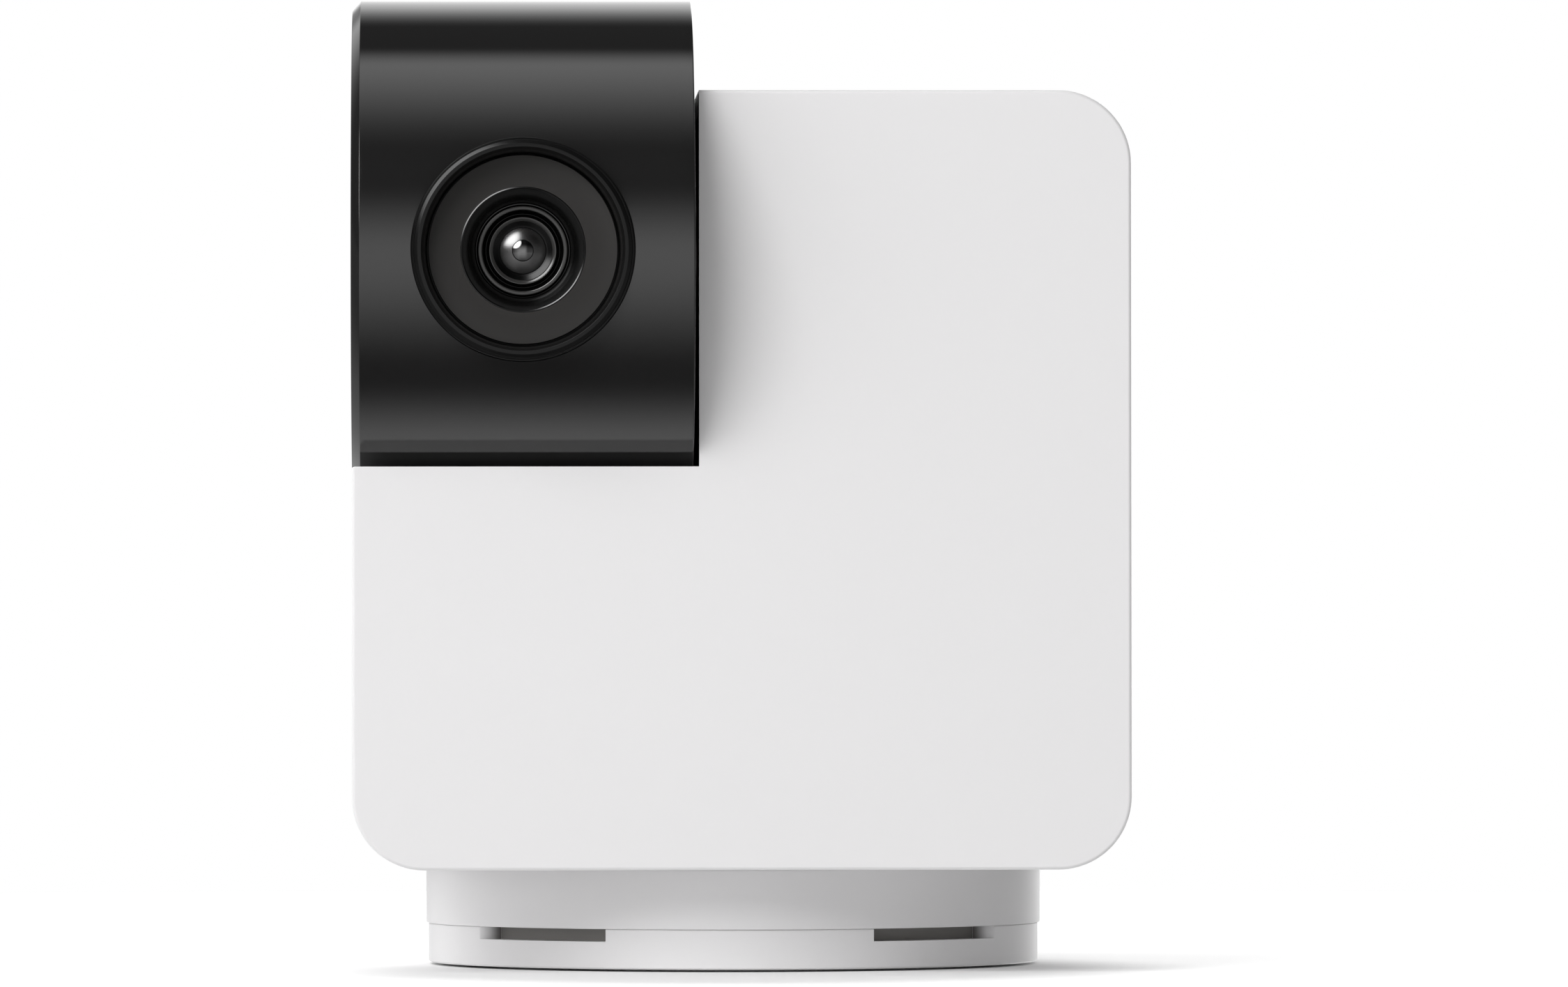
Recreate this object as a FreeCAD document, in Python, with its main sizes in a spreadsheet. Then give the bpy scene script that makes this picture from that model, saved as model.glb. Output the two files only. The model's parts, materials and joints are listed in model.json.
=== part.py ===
"""A pet camera: a cube that pans on a low round base, with a camera head that tilts in one of its corners.

Millimetres. The origin is on the pan axis, on the surface that the camera stands on. +Z points up, the front
faces -Y and +X is on the right of someone who looks at the front.
"""
import FreeCAD, Part

import math
import os
import re

import Sketcher

# Driving sizes, in millimetres, degrees and counts
SIZES = {
    "body_width": 65.0,
    "body_depth": 65.0,
    "body_height": 65.0,
    "corner_radius": 6.1,
    "front_edge": 0.3,
    "rear_edge": 0.9,
    "wall": 2.0,
    "rear_thickness": 2.0,
    "rear_lip": 2.0,
    "lip_wall": 1.2,
    "fit_gap": 0.1,
    "cut_margin": 1.0,
    "blind_gap": 0.3,
    "base_height": 8.2,
    "pan_gap": 0.3,
    "neck_overhang": 0.2,
    "neck_taper": 0.15,
    "disc_radius": 26.2,
    "disc_height": 3.07,
    "disc_edge": 0.3,
    "base_wall": 1.8,
    "base_floor": 1.2,
    "base_roof": 1.2,
    "foot_lift": 0.3,
    "foot_height": 0.9,
    "foot_inset": 1.2,
    "foot_width": 2.4,
    "foot_edge": 0.2,
    "slot_height": 1.07,
    "slot_inner_angle": 25.5,
    "slot_outer_angle": 55.0,
    "insert_radius": 4.2,
    "insert_bore": 2.6,
    "insert_length": 3.8,
    "insert_boss_wall": 1.8,
    "insert_cap": 0.3,
    "base_boss_radius": 2.8,
    "base_boss_inset": 4.4,
    "base_boss_angle": 30.0,
    "seat_height": 0.5,
    "seat_wall": 1.2,
    "base_boss_roof": 0.7,
    "hub_radius": 9.0,
    "hub_bore": 5.5,
    "hub_screw_grip": 2.8,
    "running_gap": 0.05,
    "bush_wall": 1.95,
    "bush_flange": 0.6,
    "bush_flange_width": 1.5,
    "gear_lift": 0.1,
    "gear_module": 0.5,
    "gear_face": 3.0,
    "pan_gear_teeth": 60,
    "tilt_gear_teeth": 40,
    "pinion_teeth": 12,
    "pressure_angle": 20.0,
    "backlash": 0.06,
    "washer_thickness": 0.25,
    "washer_width": 4.7,
    "washer_gap": 0.3,
    "screw_radius": 1.0,
    "screw_head_radius": 1.9,
    "screw_head_height": 1.0,
    "screw_grip": 3.0,
    "small_screw_radius": 0.7,
    "small_head_radius": 1.4,
    "small_head_height": 0.8,
    "small_screw_grip": 2.7,
    "port_screw_grip": 0.9,
    "socket_depth": 0.6,
    "socket_radius": 0.9,
    "board_thickness": 1.0,
    "port_board_width": 17.0,
    "port_board_depth": 11.0,
    "port_board_gap": 0.35,
    "port_post_radius": 1.8,
    "port_post_spread": 6.2,
    "port_post_inset": 2.1,
    "port_width": 8.94,
    "port_height": 3.16,
    "port_wall": 0.3,
    "port_depth": 7.4,
    "port_inset": 0.5,
    "port_clearance": 0.15,
    "port_roof_gap": 0.02,
    "tongue_width": 6.7,
    "tongue_height": 0.7,
    "wire_radius": 0.8,
    "wire_bend": 3.5,
    "plug_width": 6.0,
    "plug_depth": 3.5,
    "plug_setback": 0.5,
    "harness_gap": 0.4,
    "plate_thickness": 1.2,
    "plate_lift": 1.4,
    "post_radius": 2.2,
    "plate_margin": 3.0,
    "pan_post_inset": 5.5,
    "pan_post_reach": 33.0,
    "pan_post_front": 22.0,
    "pan_post_rear": 2.0,
    "tilt_post_inset": 3.7,
    "tilt_post_rise": 6.0,
    "tilt_post_drop": 14.0,
    "tilt_plate_front": 4.0,
    "tilt_plate_clearance": 0.4,
    "motor_radius": 10.0,
    "motor_length": 13.0,
    "motor_ear_reach": 12.0,
    "motor_ear_radius": 3.0,
    "motor_ear_thickness": 0.8,
    "tilt_ear_angle": 30.0,
    "shaft_radius": 1.0,
    "shaft_length": 5.0,
    "shaft_gap": 0.6,
    "pan_drive_angle": -50.0,
    "head_radius": 21.6,
    "head_length": 28.5,
    "head_stand_out": 8.1,
    "head_gap": 0.8,
    "head_side_gap": 0.45,
    "head_wall": 1.8,
    "head_cap": 1.2,
    "head_bevel_width": 0.7,
    "head_bevel_depth": 0.75,
    "spigot_length": 2.0,
    "spigot_wall": 1.0,
    "cradle_wall": 1.2,
    "cradle_reach": 10.5,
    "cradle_boss_length": 2.55,
    "cradle_boss_wall": 1.5,
    "tilt_bush_wall": 1.45,
    "trunnion_radius": 6.0,
    "trunnion_bore": 3.2,
    "trunnion_end": 0.8,
    "clip_width": 0.6,
    "clip_grip": 0.5,
    "clip_radius": 8.0,
    "tilt_plate_gap": 0.5,
    "lens_ring_radius": 9.25,
    "lens_ring_proud": 0.4,
    "lens_ring_width": 1.3,
    "lens_ring_round": 0.55,
    "lens_ring_lap": 0.2,
    "lens_flange_width": 1.35,
    "lens_flange_thickness": 1.1,
    "bezel_recess": 2.6,
    "bezel_thickness": 0.8,
    "bezel_opening": 5.1,
    "bezel_taper": 0.8,
    "bezel_cone_depth": 1.8,
    "bezel_lip": 0.7,
    "lens_barrel_radius": 6.0,
    "lens_barrel_length": 8.6,
    "lens_barrel_gap": 0.1,
    "lens_ridge_outer": 3.65,
    "lens_ridge_inner": 2.7,
    "lens_ridge_width": 0.25,
    "lens_ridge_height": 0.4,
    "lens_ridge_proud": 0.2,
    "lens_shelf_depth": 0.5,
    "lens_seat_radius": 1.9,
    "lens_seat_depth": 0.9,
    "lens_seat_lip": 0.4,
    "lens_cone_depth": 1.0,
    "lens_air": 0.5,
    "lens_dome_height": 1.1,
    "rear_lens_radius": 2.8,
    "rear_lens_thickness": 2.0,
    "lens_holder_width": 14.4,
    "lens_holder_wall": 1.2,
    "sensor_width": 7.0,
    "sensor_thickness": 1.0,
    "sensor_gap": 1.6,
    "sensor_board_width": 21.0,
    "sensor_board_height": 24.0,
    "sensor_post_spread": 8.8,
    "sensor_post_rise": 10.2,
    "sensor_post_radius": 1.6,
    "sensor_post_root": 0.8,
    "cap_boss_radius": 2.4,
    "cap_boss_inset": 2.3,
    "cap_boss_length": 5.6,
    "cap_boss_floor": 1.0,
    "rear_boss_radius": 3.5,
    "rear_boss_inset": 5.3,
    "rear_boss_length": 10.4,
    "rear_boss_step": 0.7,
    "rear_screw_sink": 0.3,
    "rear_screw_grip": 6.0,
    "main_board_gap": 3.5,
    "main_board_height": 28.0,
    "main_board_drop": 9.5,
    "main_board_setback": 9.3,
    "board_post_radius": 2.2,
    "board_post_spread": 23.0,
    "board_post_edge": 4.0,
    "connector_width": 4.0,
    "connector_height": 3.6,
    "connector_depth": 3.0,
    "connector_drop": 0.4,
    "speaker_plug_place": 10.0,
    "pan_plug_place": 16.5,
    "processor_width": 14.0,
    "processor_place": 5.5,
    "processor_thickness": 1.4,
    "spreader_width": 26.0,
    "spreader_height": 18.0,
    "spreader_thickness": 1.2,
    "shield_width": 13.0,
    "shield_inset": 9.5,
    "shield_height": 14.0,
    "shield_thickness": 2.0,
    "card_socket_length": 14.5,
    "card_socket_width": 14.0,
    "card_socket_height": 1.9,
    "card_socket_overhang": 1.0,
    "card_slot_width": 11.6,
    "card_slot_height": 1.3,
    "switch_width": 4.0,
    "switch_height": 3.4,
    "button_radius": 1.5,
    "button_gap": 0.15,
    "button_travel": 0.4,
    "button_flange": 0.9,
    "button_flange_thickness": 0.8,
    "button_inset": 0.2,
    "button_edge": 0.2,
    "button_place": 16.0,
    "button_rise": 3.0,
    "microphone_drop": 7.0,
    "sleeve_wall": 1.0,
    "sleeve_height": 0.3,
    "microphone_width": 3.0,
    "microphone_height": 1.1,
    "boot_radius": 2.4,
    "boot_bore": 0.6,
    "speaker_radius": 11.0,
    "speaker_depth": 5.0,
    "speaker_lift": 1.1,
    "speaker_rim": 3.0,
    "speaker_gap": 0.2,
    "speaker_land": 1.5,
    "magnet_radius": 6.6,
    "magnet_height": 2.0,
    "basket_height": 3.0,
    "cone_radius": 4.4,
    "cone_depth": 1.2,
    "dust_cap_depth": 1.0,
    "gasket_thickness": 0.6,
    "grille_hole_radius": 0.7,
    "grille_pitch": 2.6,
    "grille_rings": 3,
    "antenna_length": 25.0,
    "antenna_width": 12.0,
    "antenna_thickness": 0.3,
    "antenna_drop": 2.0,
    "tab_thickness": 1.4,
    "tab_width": 7.0,
    "tab_standoff": 4.0,
    "tab_inset": 9.5,
    "tab_drop": 1.4,
    "tab_overlap": 1.2,
    "side_tab_rise": 2.9,
    "side_tab_reach": 5.55,
    "tilt_cable_gap": 2.6,
    "cable_bend": 4.0,
    "head_wire_bend": 3.0,
}

doc = FreeCAD.newDocument("pet_camera")
sheet = doc.addObject("Spreadsheet::Sheet", "dims")
for row, (alias, size) in enumerate(SIZES.items(), start=1):
    sheet.set(f"A{row}", alias)
    sheet.set(f"B{row}", str(size))
    sheet.setAlias(f"B{row}", alias)
doc.recompute()

SAME_LEVEL = 1e-4
SMALLEST_CUT = 1e-3
WORD = re.compile(r"[a-z_][a-z_0-9]*")
AXES = {
    "X": FreeCAD.Rotation(FreeCAD.Vector(0, 1, 0), 90),
    "Y": FreeCAD.Rotation(FreeCAD.Vector(1, 0, 0), -90),
    "Z": FreeCAD.Rotation(),
}
PARTS = []


def cells(expression):
    """The expression with each size written as its cell of the sheet."""
    return WORD.sub(lambda word: f"dims.{word[0]}" if word[0] in SIZES else word[0], str(expression))


def number(expression):
    """The value of an expression of sizes."""
    found = sheet.evalExpression(cells(expression))
    return float(getattr(found, "Value", found))


def bind(thing, path, expression):
    """Ties one property of an object to an expression of sizes."""
    thing.setExpression(path, cells(expression))


def place(thing, x=0, y=0, z=0, turn=None):
    """Ties an object's place to expressions, after turning it."""
    thing.Placement = FreeCAD.Placement(FreeCAD.Vector(), turn or FreeCAD.Rotation())
    for letter, expression in zip("xyz", (x, y, z)):
        bind(thing, f"Placement.Base.{letter}", expression)
    return thing


def keep(label, thing):
    """Names an object as one sub-part of the camera."""
    thing.Label = label
    PARTS.append(thing)
    return thing


# Sketches, pads and turned profiles


class Profile:
    """A sketch on one of a body's own planes, with every corner tied to the sheet."""

    def __init__(self, body, plane, x=0, y=0, level=0):
        self.sketch = body.newObject("Sketcher::SketchObject", "profile")
        origin = [item for item in body.Origin.OriginFeatures if item.Role == plane + "_Plane"][0]
        self.sketch.AttachmentSupport = (origin, [""])
        self.sketch.MapMode = "FlatFace"
        bind(self.sketch, "AttachmentOffset.Base.x", x)
        bind(self.sketch, "AttachmentOffset.Base.y", y)
        bind(self.sketch, "AttachmentOffset.Base.z", f"-({level})" if plane == "XZ" else level)

    def tie(self, kind, item, point, expression):
        """Ties one coordinate of a point to an expression."""
        rule = Sketcher.Constraint(kind, -1, 1, item, point, number(expression))
        index = self.sketch.addConstraint(rule)
        bind(self.sketch, f"Constraints[{index}]", expression)

    def tie_point(self, item, point, spot):
        """Ties both coordinates of a point."""
        self.tie("DistanceX", item, point, spot[0])
        self.tie("DistanceY", item, point, spot[1])

    def line(self, start, end):
        """Adds a line between two spots, without constraints, and gives its index."""
        ends = [FreeCAD.Vector(number(spot[0]), number(spot[1]), 0) for spot in (start, end)]
        return self.sketch.addGeometry(Part.LineSegment(*ends), False)

    def polygon(self, corners):
        """A closed outline of straight lines."""
        sides = [self.line(a, b) for a, b in zip(corners, corners[1:] + corners[:1])]
        for side, following in zip(sides, sides[1:] + sides[:1]):
            self.sketch.addConstraint(Sketcher.Constraint("Coincident", side, 2, following, 1))
        for side, corner in zip(sides, corners):
            self.tie_point(side, 1, corner)
        return self

    def circle(self, x, y, radius):
        """A full circle."""
        centre = FreeCAD.Vector(number(x), number(y), 0)
        ring = Part.Circle(centre, FreeCAD.Vector(0, 0, 1), number(radius))
        item = self.sketch.addGeometry(ring, False)
        self.tie_point(item, 3, (x, y))
        index = self.sketch.addConstraint(Sketcher.Constraint("Radius", item, number(radius)))
        bind(self.sketch, f"Constraints[{index}]", radius)
        return self

    def rounded(self, left, right, low, high, radius):
        """A rectangle whose four corners are round."""
        inner = [
            (f"({right}) - ({radius})", f"({low}) + ({radius})"),
            (f"({right}) - ({radius})", f"({high}) - ({radius})"),
            (f"({left}) + ({radius})", f"({high}) - ({radius})"),
            (f"({left}) + ({radius})", f"({low}) + ({radius})"),
        ]
        starts = [
            (inner[0][0], low),
            (right, inner[1][1]),
            (inner[2][0], high),
            (left, inner[3][1]),
        ]
        ends = [(right, inner[0][1]), (inner[1][0], high), (left, inner[2][1]), (inner[3][0], low)]
        sides = [self.line(ends[i - 1], starts[i]) for i in range(4)]
        for i, centre in enumerate(inner):
            middle = FreeCAD.Vector(number(centre[0]), number(centre[1]), 0)
            full = Part.Circle(middle, FreeCAD.Vector(0, 0, 1), number(radius))
            begin = math.radians(90 * i - 90)
            arc = self.sketch.addGeometry(Part.ArcOfCircle(full, begin, begin + math.pi / 2), False)
            self.sketch.addConstraint(Sketcher.Constraint("Coincident", sides[i], 2, arc, 1))
            self.sketch.addConstraint(Sketcher.Constraint("Coincident", arc, 2, sides[(i + 1) % 4], 1))
            self.tie_point(sides[i], 1, ends[i - 1])
            self.tie_point(sides[i], 2, starts[i])
            index = self.sketch.addConstraint(Sketcher.Constraint("Radius", arc, number(radius)))
            bind(self.sketch, f"Constraints[{index}]", radius)
        return self


def circles(spots, radius):
    """What draws the same circle at several spots of a sketch."""
    return lambda profile: [profile.circle(x, y, radius) for x, y in spots]


def tube(inner, outer, start, end):
    """The corners of a ring's section, for a turned body about Y or Z."""
    return [(inner, start), (outer, start), (outer, end), (inner, end)]


def new_body():
    """An empty body."""
    return doc.addObject("PartDesign::Body", "body")


def pad(body, plane, start, end, draw, x=0, y=0):
    """Adds material from one level to a higher one along the plane's own axis."""
    profile = Profile(body, plane, x, y, start)
    draw(profile)
    feature = body.newObject("PartDesign::Pad", "pad")
    feature.Profile = profile.sketch
    bind(feature, "Length", f"({end}) - ({start})")
    feature.Reversed = plane == "XZ"
    return feature


def pocket(body, plane, start, end, draw, x=0, y=0):
    """Removes material from one level to a higher one along the plane's own axis."""
    profile = Profile(body, plane, x, y, start)
    draw(profile)
    feature = body.newObject("PartDesign::Pocket", "pocket")
    feature.Profile = profile.sketch
    bind(feature, "Length", f"({end}) - ({start})")
    feature.Reversed = plane != "XZ"
    return feature


def turned(axis, corners, x=0, y=0, z=0):
    """A body of revolution about an axis through a point.

    About Y and Z the corners are (radius, place along the axis), and about X (place along the axis, radius).
    """
    body = new_body()
    if axis == "Y":
        profile = Profile(body, "XY", x, 0, z)
    elif axis == "Z":
        profile = Profile(body, "XZ", x, 0, y)
    else:
        profile = Profile(body, "XZ", 0, z, y)
    profile.polygon(corners)
    feature = body.newObject("PartDesign::Revolution", "revolution")
    feature.Profile = profile.sketch
    feature.ReferenceAxis = (profile.sketch, ["H_Axis" if axis == "X" else "V_Axis"])
    feature.Angle = 360
    return body


def edges_at(feature, axis, level):
    """The names of a shape's edges that lie wholly at one level of an axis."""
    names = []
    for index, edge in enumerate(feature.Shape.Edges, start=1):
        box = edge.BoundBox
        low, high = getattr(box, axis + "Min"), getattr(box, axis + "Max")
        if abs(low - level) < SAME_LEVEL and abs(high - level) < SAME_LEVEL:
            names.append(f"Edge{index}")
    return names


def round_edges(body, feature, axis, level, radius):
    """Rounds the edges of a feature at one level."""
    feature.recompute(True)
    rounding = body.newObject("PartDesign::Fillet", "rounding")
    rounding.Base = (feature, edges_at(feature, axis, number(level)))
    bind(rounding, "Radius", radius)
    return rounding


# Primitives and what is made of them


def box(x0, x1, y0, y1, z0, z1):
    """A block between two corners."""
    block = doc.addObject("Part::Box", "block")
    bind(block, "Length", f"({x1}) - ({x0})")
    bind(block, "Width", f"({y1}) - ({y0})")
    bind(block, "Height", f"({z1}) - ({z0})")
    return place(block, x0, y0, z0)


def rod(axis, x, y, z, radius, length):
    """A cylinder that starts at a point and runs along +X, +Y or +Z."""
    cylinder = doc.addObject("Part::Cylinder", "rod")
    bind(cylinder, "Radius", radius)
    bind(cylinder, "Height", length)
    return place(cylinder, x, y, z, AXES[axis])


def quarter_bend(x, y, z, bend, radius, first, second):
    """A quarter of a torus about a point, from the first direction to the second."""
    first, second = FreeCAD.Vector(*first), FreeCAD.Vector(*second)
    torus = doc.addObject("Part::Torus", "bend")
    bind(torus, "Radius1", bend)
    bind(torus, "Radius2", radius)
    torus.Angle3 = 90
    return place(torus, x, y, z, FreeCAD.Rotation(first, second, first.cross(second), "XYZ"))


def fuse(*things):
    """One solid made of overlapping or touching ones."""
    union = doc.addObject("Part::MultiFuse", "union")
    union.Shapes = list(things)
    return union


def cut(base, *tools):
    """The base without the tools."""
    difference = doc.addObject("Part::Cut", "difference")
    difference.Base = base
    difference.Tool = tools[0] if len(tools) == 1 else fuse(*tools)
    return difference


def group(*things):
    """Separate solids that share one node."""
    compound = doc.addObject("Part::Compound", "group")
    compound.Links = list(things)
    return compound


def screw(axis, x, y, z, length, towards=1, small=False, socket=False):
    """A cap screw from a point, the underside of its head. Its shank runs towards + or - of the axis."""
    kind = "small_" if small else "screw_"
    shank_radius = "small_screw_radius" if small else "screw_radius"
    head_radius, head_height = kind + "head_radius", kind + "head_height"
    spots = {"X": x, "Y": y, "Z": z}
    spot = spots[axis]
    shank = dict(spots, **{axis: spot if towards > 0 else f"({spot}) - ({length})"})
    head = dict(spots, **{axis: f"({spot}) - {head_height}" if towards > 0 else spot})
    whole = fuse(
        rod(axis, *shank.values(), shank_radius, length),
        rod(axis, *head.values(), head_radius, head_height),
    )
    if not socket:
        return whole
    outer = f"({spot}) - {head_height}" if towards > 0 else f"({spot}) + {head_height} - socket_depth"
    key = doc.addObject("Part::Prism", "key")
    key.Polygon = 6
    bind(key, "Circumradius", "socket_radius")
    bind(key, "Height", "socket_depth")
    place(key, *dict(spots, **{axis: outer}).values(), AXES[axis])
    return cut(whole, key)


# Levels and places that several pieces share
NECK_RADIUS = "(disc_radius + neck_overhang)"
NECK_LOW = "(foot_lift + disc_height)"
FOOT_RADIUS = "(disc_radius - foot_inset)"
ROOF_LOW = "(base_height - base_roof)"
BODY_LOW = "(base_height + pan_gap)"
BODY_HIGH = f"({BODY_LOW} + body_height)"
FLOOR = f"({BODY_LOW} + wall)"
LEFT, RIGHT = "(-body_width / 2)", "(body_width / 2)"
FRONT, REAR = "(-body_depth / 2)", "(body_depth / 2)"
REAR_INSIDE = f"({REAR} - rear_thickness)"
INNER_RADIUS = "(corner_radius - wall)"
GEAR_LOW = f"({FLOOR} + bush_flange + gear_lift)"
GEAR_HIGH = f"({GEAR_LOW} + gear_face)"
PAN_PLATE_LOW = f"({GEAR_HIGH} + plate_lift)"
PAN_PLATE_HIGH = f"({PAN_PLATE_LOW} + plate_thickness)"
PAN_GEAR_RADIUS = "(gear_module * pan_gear_teeth / 2)"
TILT_GEAR_RADIUS = "(gear_module * tilt_gear_teeth / 2)"
PINION_RADIUS = "(gear_module * pinion_teeth / 2)"
PAN_DRIVE_REACH = f"({PAN_GEAR_RADIUS} + {PINION_RADIUS})"
PAN_DRIVE_X = f"({PAN_DRIVE_REACH} * cos(pan_drive_angle))"
PAN_DRIVE_Y = f"({PAN_DRIVE_REACH} * sin(pan_drive_angle))"
HEAD_Y = f"({FRONT} - head_stand_out + head_radius)"
HEAD_Z = f"({BODY_HIGH} + head_stand_out - head_radius)"
HEAD_RIGHT = f"({LEFT} + head_length)"
HEAD_BORE = "(head_radius - head_wall)"
POCKET_RADIUS = "(head_radius + head_gap)"
CRADLE_LEFT = f"({HEAD_RIGHT} + head_side_gap)"
CRADLE_RIGHT = f"({CRADLE_LEFT} + cradle_wall)"
TILT_GEAR_LEFT = f"({CRADLE_RIGHT} + cradle_boss_length + pan_gap)"
TILT_GEAR_RIGHT = f"({TILT_GEAR_LEFT} + gear_face)"
CLIP_RIGHT = f"({TILT_GEAR_RIGHT} + clip_width)"
TRUNNION_RIGHT = f"({CLIP_RIGHT} + trunnion_end)"
TILT_PLATE_LEFT = f"({TRUNNION_RIGHT} + tilt_plate_gap)"
TILT_PLATE_RIGHT = f"({TILT_PLATE_LEFT} + plate_thickness)"
TILT_DRIVE_REACH = f"({TILT_GEAR_RADIUS} + {PINION_RADIUS})"
TILT_DRIVE_Y = f"({HEAD_Y} + {TILT_DRIVE_REACH})"
LENS_X = f"({LEFT} + head_length / 2)"
LENS_FRONT = f"({HEAD_Y} - head_radius - lens_ring_proud)"
BEZEL_FRONT = f"({LENS_FRONT} + bezel_recess)"
BARREL_FRONT = f"({BEZEL_FRONT} + bezel_thickness + bezel_cone_depth + lens_barrel_gap)"
SENSOR_FRONT = f"({BARREL_FRONT} + lens_barrel_length + sensor_gap)"
SENSOR_REAR = f"({SENSOR_FRONT} + board_thickness)"
PORT_BOARD_HIGH = f"({ROOF_LOW} - port_roof_gap - port_height)"
PORT_BOARD_LOW = f"({PORT_BOARD_HIGH} - board_thickness)"
PORT_Z = f"({PORT_BOARD_HIGH} + port_height / 2)"
PORT_REAR = f"({NECK_RADIUS} - port_inset)"
PORT_ROOM = "(disc_radius - base_wall - port_board_gap)"
PORT_BOARD_REAR = f"(sqrt(pow({PORT_ROOM}; 2) - pow(port_board_width / 2; 2)))"
PORT_BOARD_FRONT = f"({PORT_BOARD_REAR} - port_board_depth)"
BOARD_REAR = f"({REAR_INSIDE} - main_board_setback)"
BOARD_FRONT = f"({BOARD_REAR} - board_thickness)"
BOARD_HIGH = f"({BODY_HIGH} - main_board_drop)"
BOARD_LOW = f"({BOARD_HIGH} - main_board_height)"
BOARD_MIDDLE = f"({BOARD_LOW} + main_board_height / 2)"
SPEAKER_Z = f"({FLOOR} + speaker_lift + lip_wall + speaker_gap + speaker_radius)"
CONNECTOR_LOW = f"({BOARD_LOW} + connector_drop)"
TILT_CABLE_X = f"({TILT_PLATE_RIGHT} + tilt_cable_gap)"
BUTTON = ("-button_place", f"({BOARD_MIDDLE} + button_rise)")
MICROPHONE = ("-button_place", f"({BOARD_MIDDLE} - microphone_drop)")
WIRE_Z = f"({ROOF_LOW} - wire_radius - fit_gap)"

BASE_BOSS_RING = "(disc_radius - base_wall - base_boss_inset)"
BASE_BOSS_X = f"({BASE_BOSS_RING} * cos(base_boss_angle))"
BASE_BOSS_Y = f"({BASE_BOSS_RING} * sin(base_boss_angle))"
BASE_BOSSES = [
    (f"({side} * {BASE_BOSS_X})", f"({end} * {BASE_BOSS_Y})") for side in (-1, 1) for end in (-1, 1)
]
REAR_BOSSES = [
    (f"({side} * (body_width / 2 - rear_boss_inset))", height)
    for side in (-1, 1)
    for height in (f"({BODY_LOW} + rear_boss_inset)", f"({BODY_HIGH} - rear_boss_inset)")
]
BOARD_POSTS = [
    (f"({side} * board_post_spread)", height)
    for side in (-1, 1)
    for height in (f"({BOARD_LOW} + board_post_edge)", f"({BOARD_HIGH} - board_post_edge)")
]
HUB_SCREWS = [
    (f"((hub_radius + hub_bore) / 2 * cos({angle}))", f"((hub_radius + hub_bore) / 2 * sin({angle}))")
    for angle in (90, 210, 330)
]
PORT_POSTS = [
    (f"({side} * port_post_spread)", f"({PORT_BOARD_FRONT} + port_post_inset)") for side in (-1, 1)
]
PAN_POST_X = f"({RIGHT} - wall - pan_post_inset)"
PAN_POSTS = [
    (PAN_POST_X, "-pan_post_front"),
    (PAN_POST_X, "pan_post_rear"),
    (f"({PAN_POST_X} - pan_post_reach)", "-pan_post_front"),
]
PAN_EARS = [(f"({PAN_DRIVE_X} + {side} * motor_ear_reach)", PAN_DRIVE_Y, PAN_PLATE_HIGH) for side in (-1, 1)]
TILT_POSTS = [
    (HEAD_Y, f"({HEAD_Z} - tilt_post_drop)"),
    ("(cradle_reach - tilt_post_inset)", f"({HEAD_Z} - tilt_post_drop)"),
    ("(cradle_reach - tilt_post_inset)", f"({HEAD_Z} + tilt_post_rise)"),
]
TILT_EARS = [
    (
        TILT_PLATE_RIGHT,
        f"({TILT_DRIVE_Y} + {side} * motor_ear_reach * cos(tilt_ear_angle))",
        f"({HEAD_Z} - {side} * motor_ear_reach * sin(tilt_ear_angle))",
    )
    for side in (-1, 1)
]
TAB_FRONT = f"({FRONT} + wall + tab_standoff)"
TAB_REAR = f"({TAB_FRONT} + tab_thickness)"
CRADLE_LOW = f"({HEAD_Z} - {POCKET_RADIUS} - cradle_wall)"
SIDE_TAB = (f"({CRADLE_RIGHT} + side_tab_reach)", f"({CRADLE_LOW} + side_tab_rise)")
LOWER_TAB = (f"({LEFT} + tab_inset)", f"({CRADLE_LOW} - tab_drop)")
CAP_BOSSES = [
    (
        f"({HEAD_Y} + ({HEAD_BORE} - cap_boss_inset) * cos({angle}))",
        f"({HEAD_Z} + ({HEAD_BORE} - cap_boss_inset) * sin({angle}))",
    )
    for angle in (-85, -25, 35)
]
SENSOR_POSTS = [
    (f"({LENS_X} + {side} * sensor_post_spread)", f"({HEAD_Z} + {end} * sensor_post_rise)")
    for side in (-1, 1)
    for end in (-1, 1)
]


# The base, which stands still


def base_housing():
    """The base's upper tier, with the hub that the body pans on."""
    body = turned(
        "Z",
        [
            ("disc_radius - base_wall", NECK_LOW),
            (NECK_RADIUS, NECK_LOW),
            (f"{NECK_RADIUS} - neck_taper", "base_height - neck_taper"),
            (f"{NECK_RADIUS} - 2 * neck_taper", "base_height"),
            ("hub_radius", "base_height"),
            ("hub_radius", GEAR_LOW),
            ("hub_bore", GEAR_LOW),
            ("hub_bore", ROOF_LOW),
            ("disc_radius - base_wall", ROOF_LOW),
        ],
    )
    bosses = "foot_lift + base_floor + seat_height"
    pad(body, "XY", bosses, ROOF_LOW, circles(BASE_BOSSES, "base_boss_radius"))
    pocket(body, "XY", bosses, f"{ROOF_LOW} - base_boss_roof", circles(BASE_BOSSES, "screw_radius"))
    hole_low = f"{GEAR_LOW} - hub_screw_grip - blind_gap"
    pocket(body, "XY", hole_low, GEAR_LOW, circles(HUB_SCREWS, "screw_radius"))
    half_width, half_height = "(port_width / 2 + port_clearance)", "(port_height / 2 + port_clearance)"
    pocket(
        body,
        "XZ",
        f"{PORT_BOARD_REAR} + cut_margin",
        f"{NECK_RADIUS} + cut_margin",
        lambda p: p.rounded(
            f"-{half_width}",
            half_width,
            f"{PORT_Z} - {half_height}",
            f"{PORT_Z} + {half_height}",
            f"0.9 * {half_height}",
        ),
    )
    return keep("base_housing", body)


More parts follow.
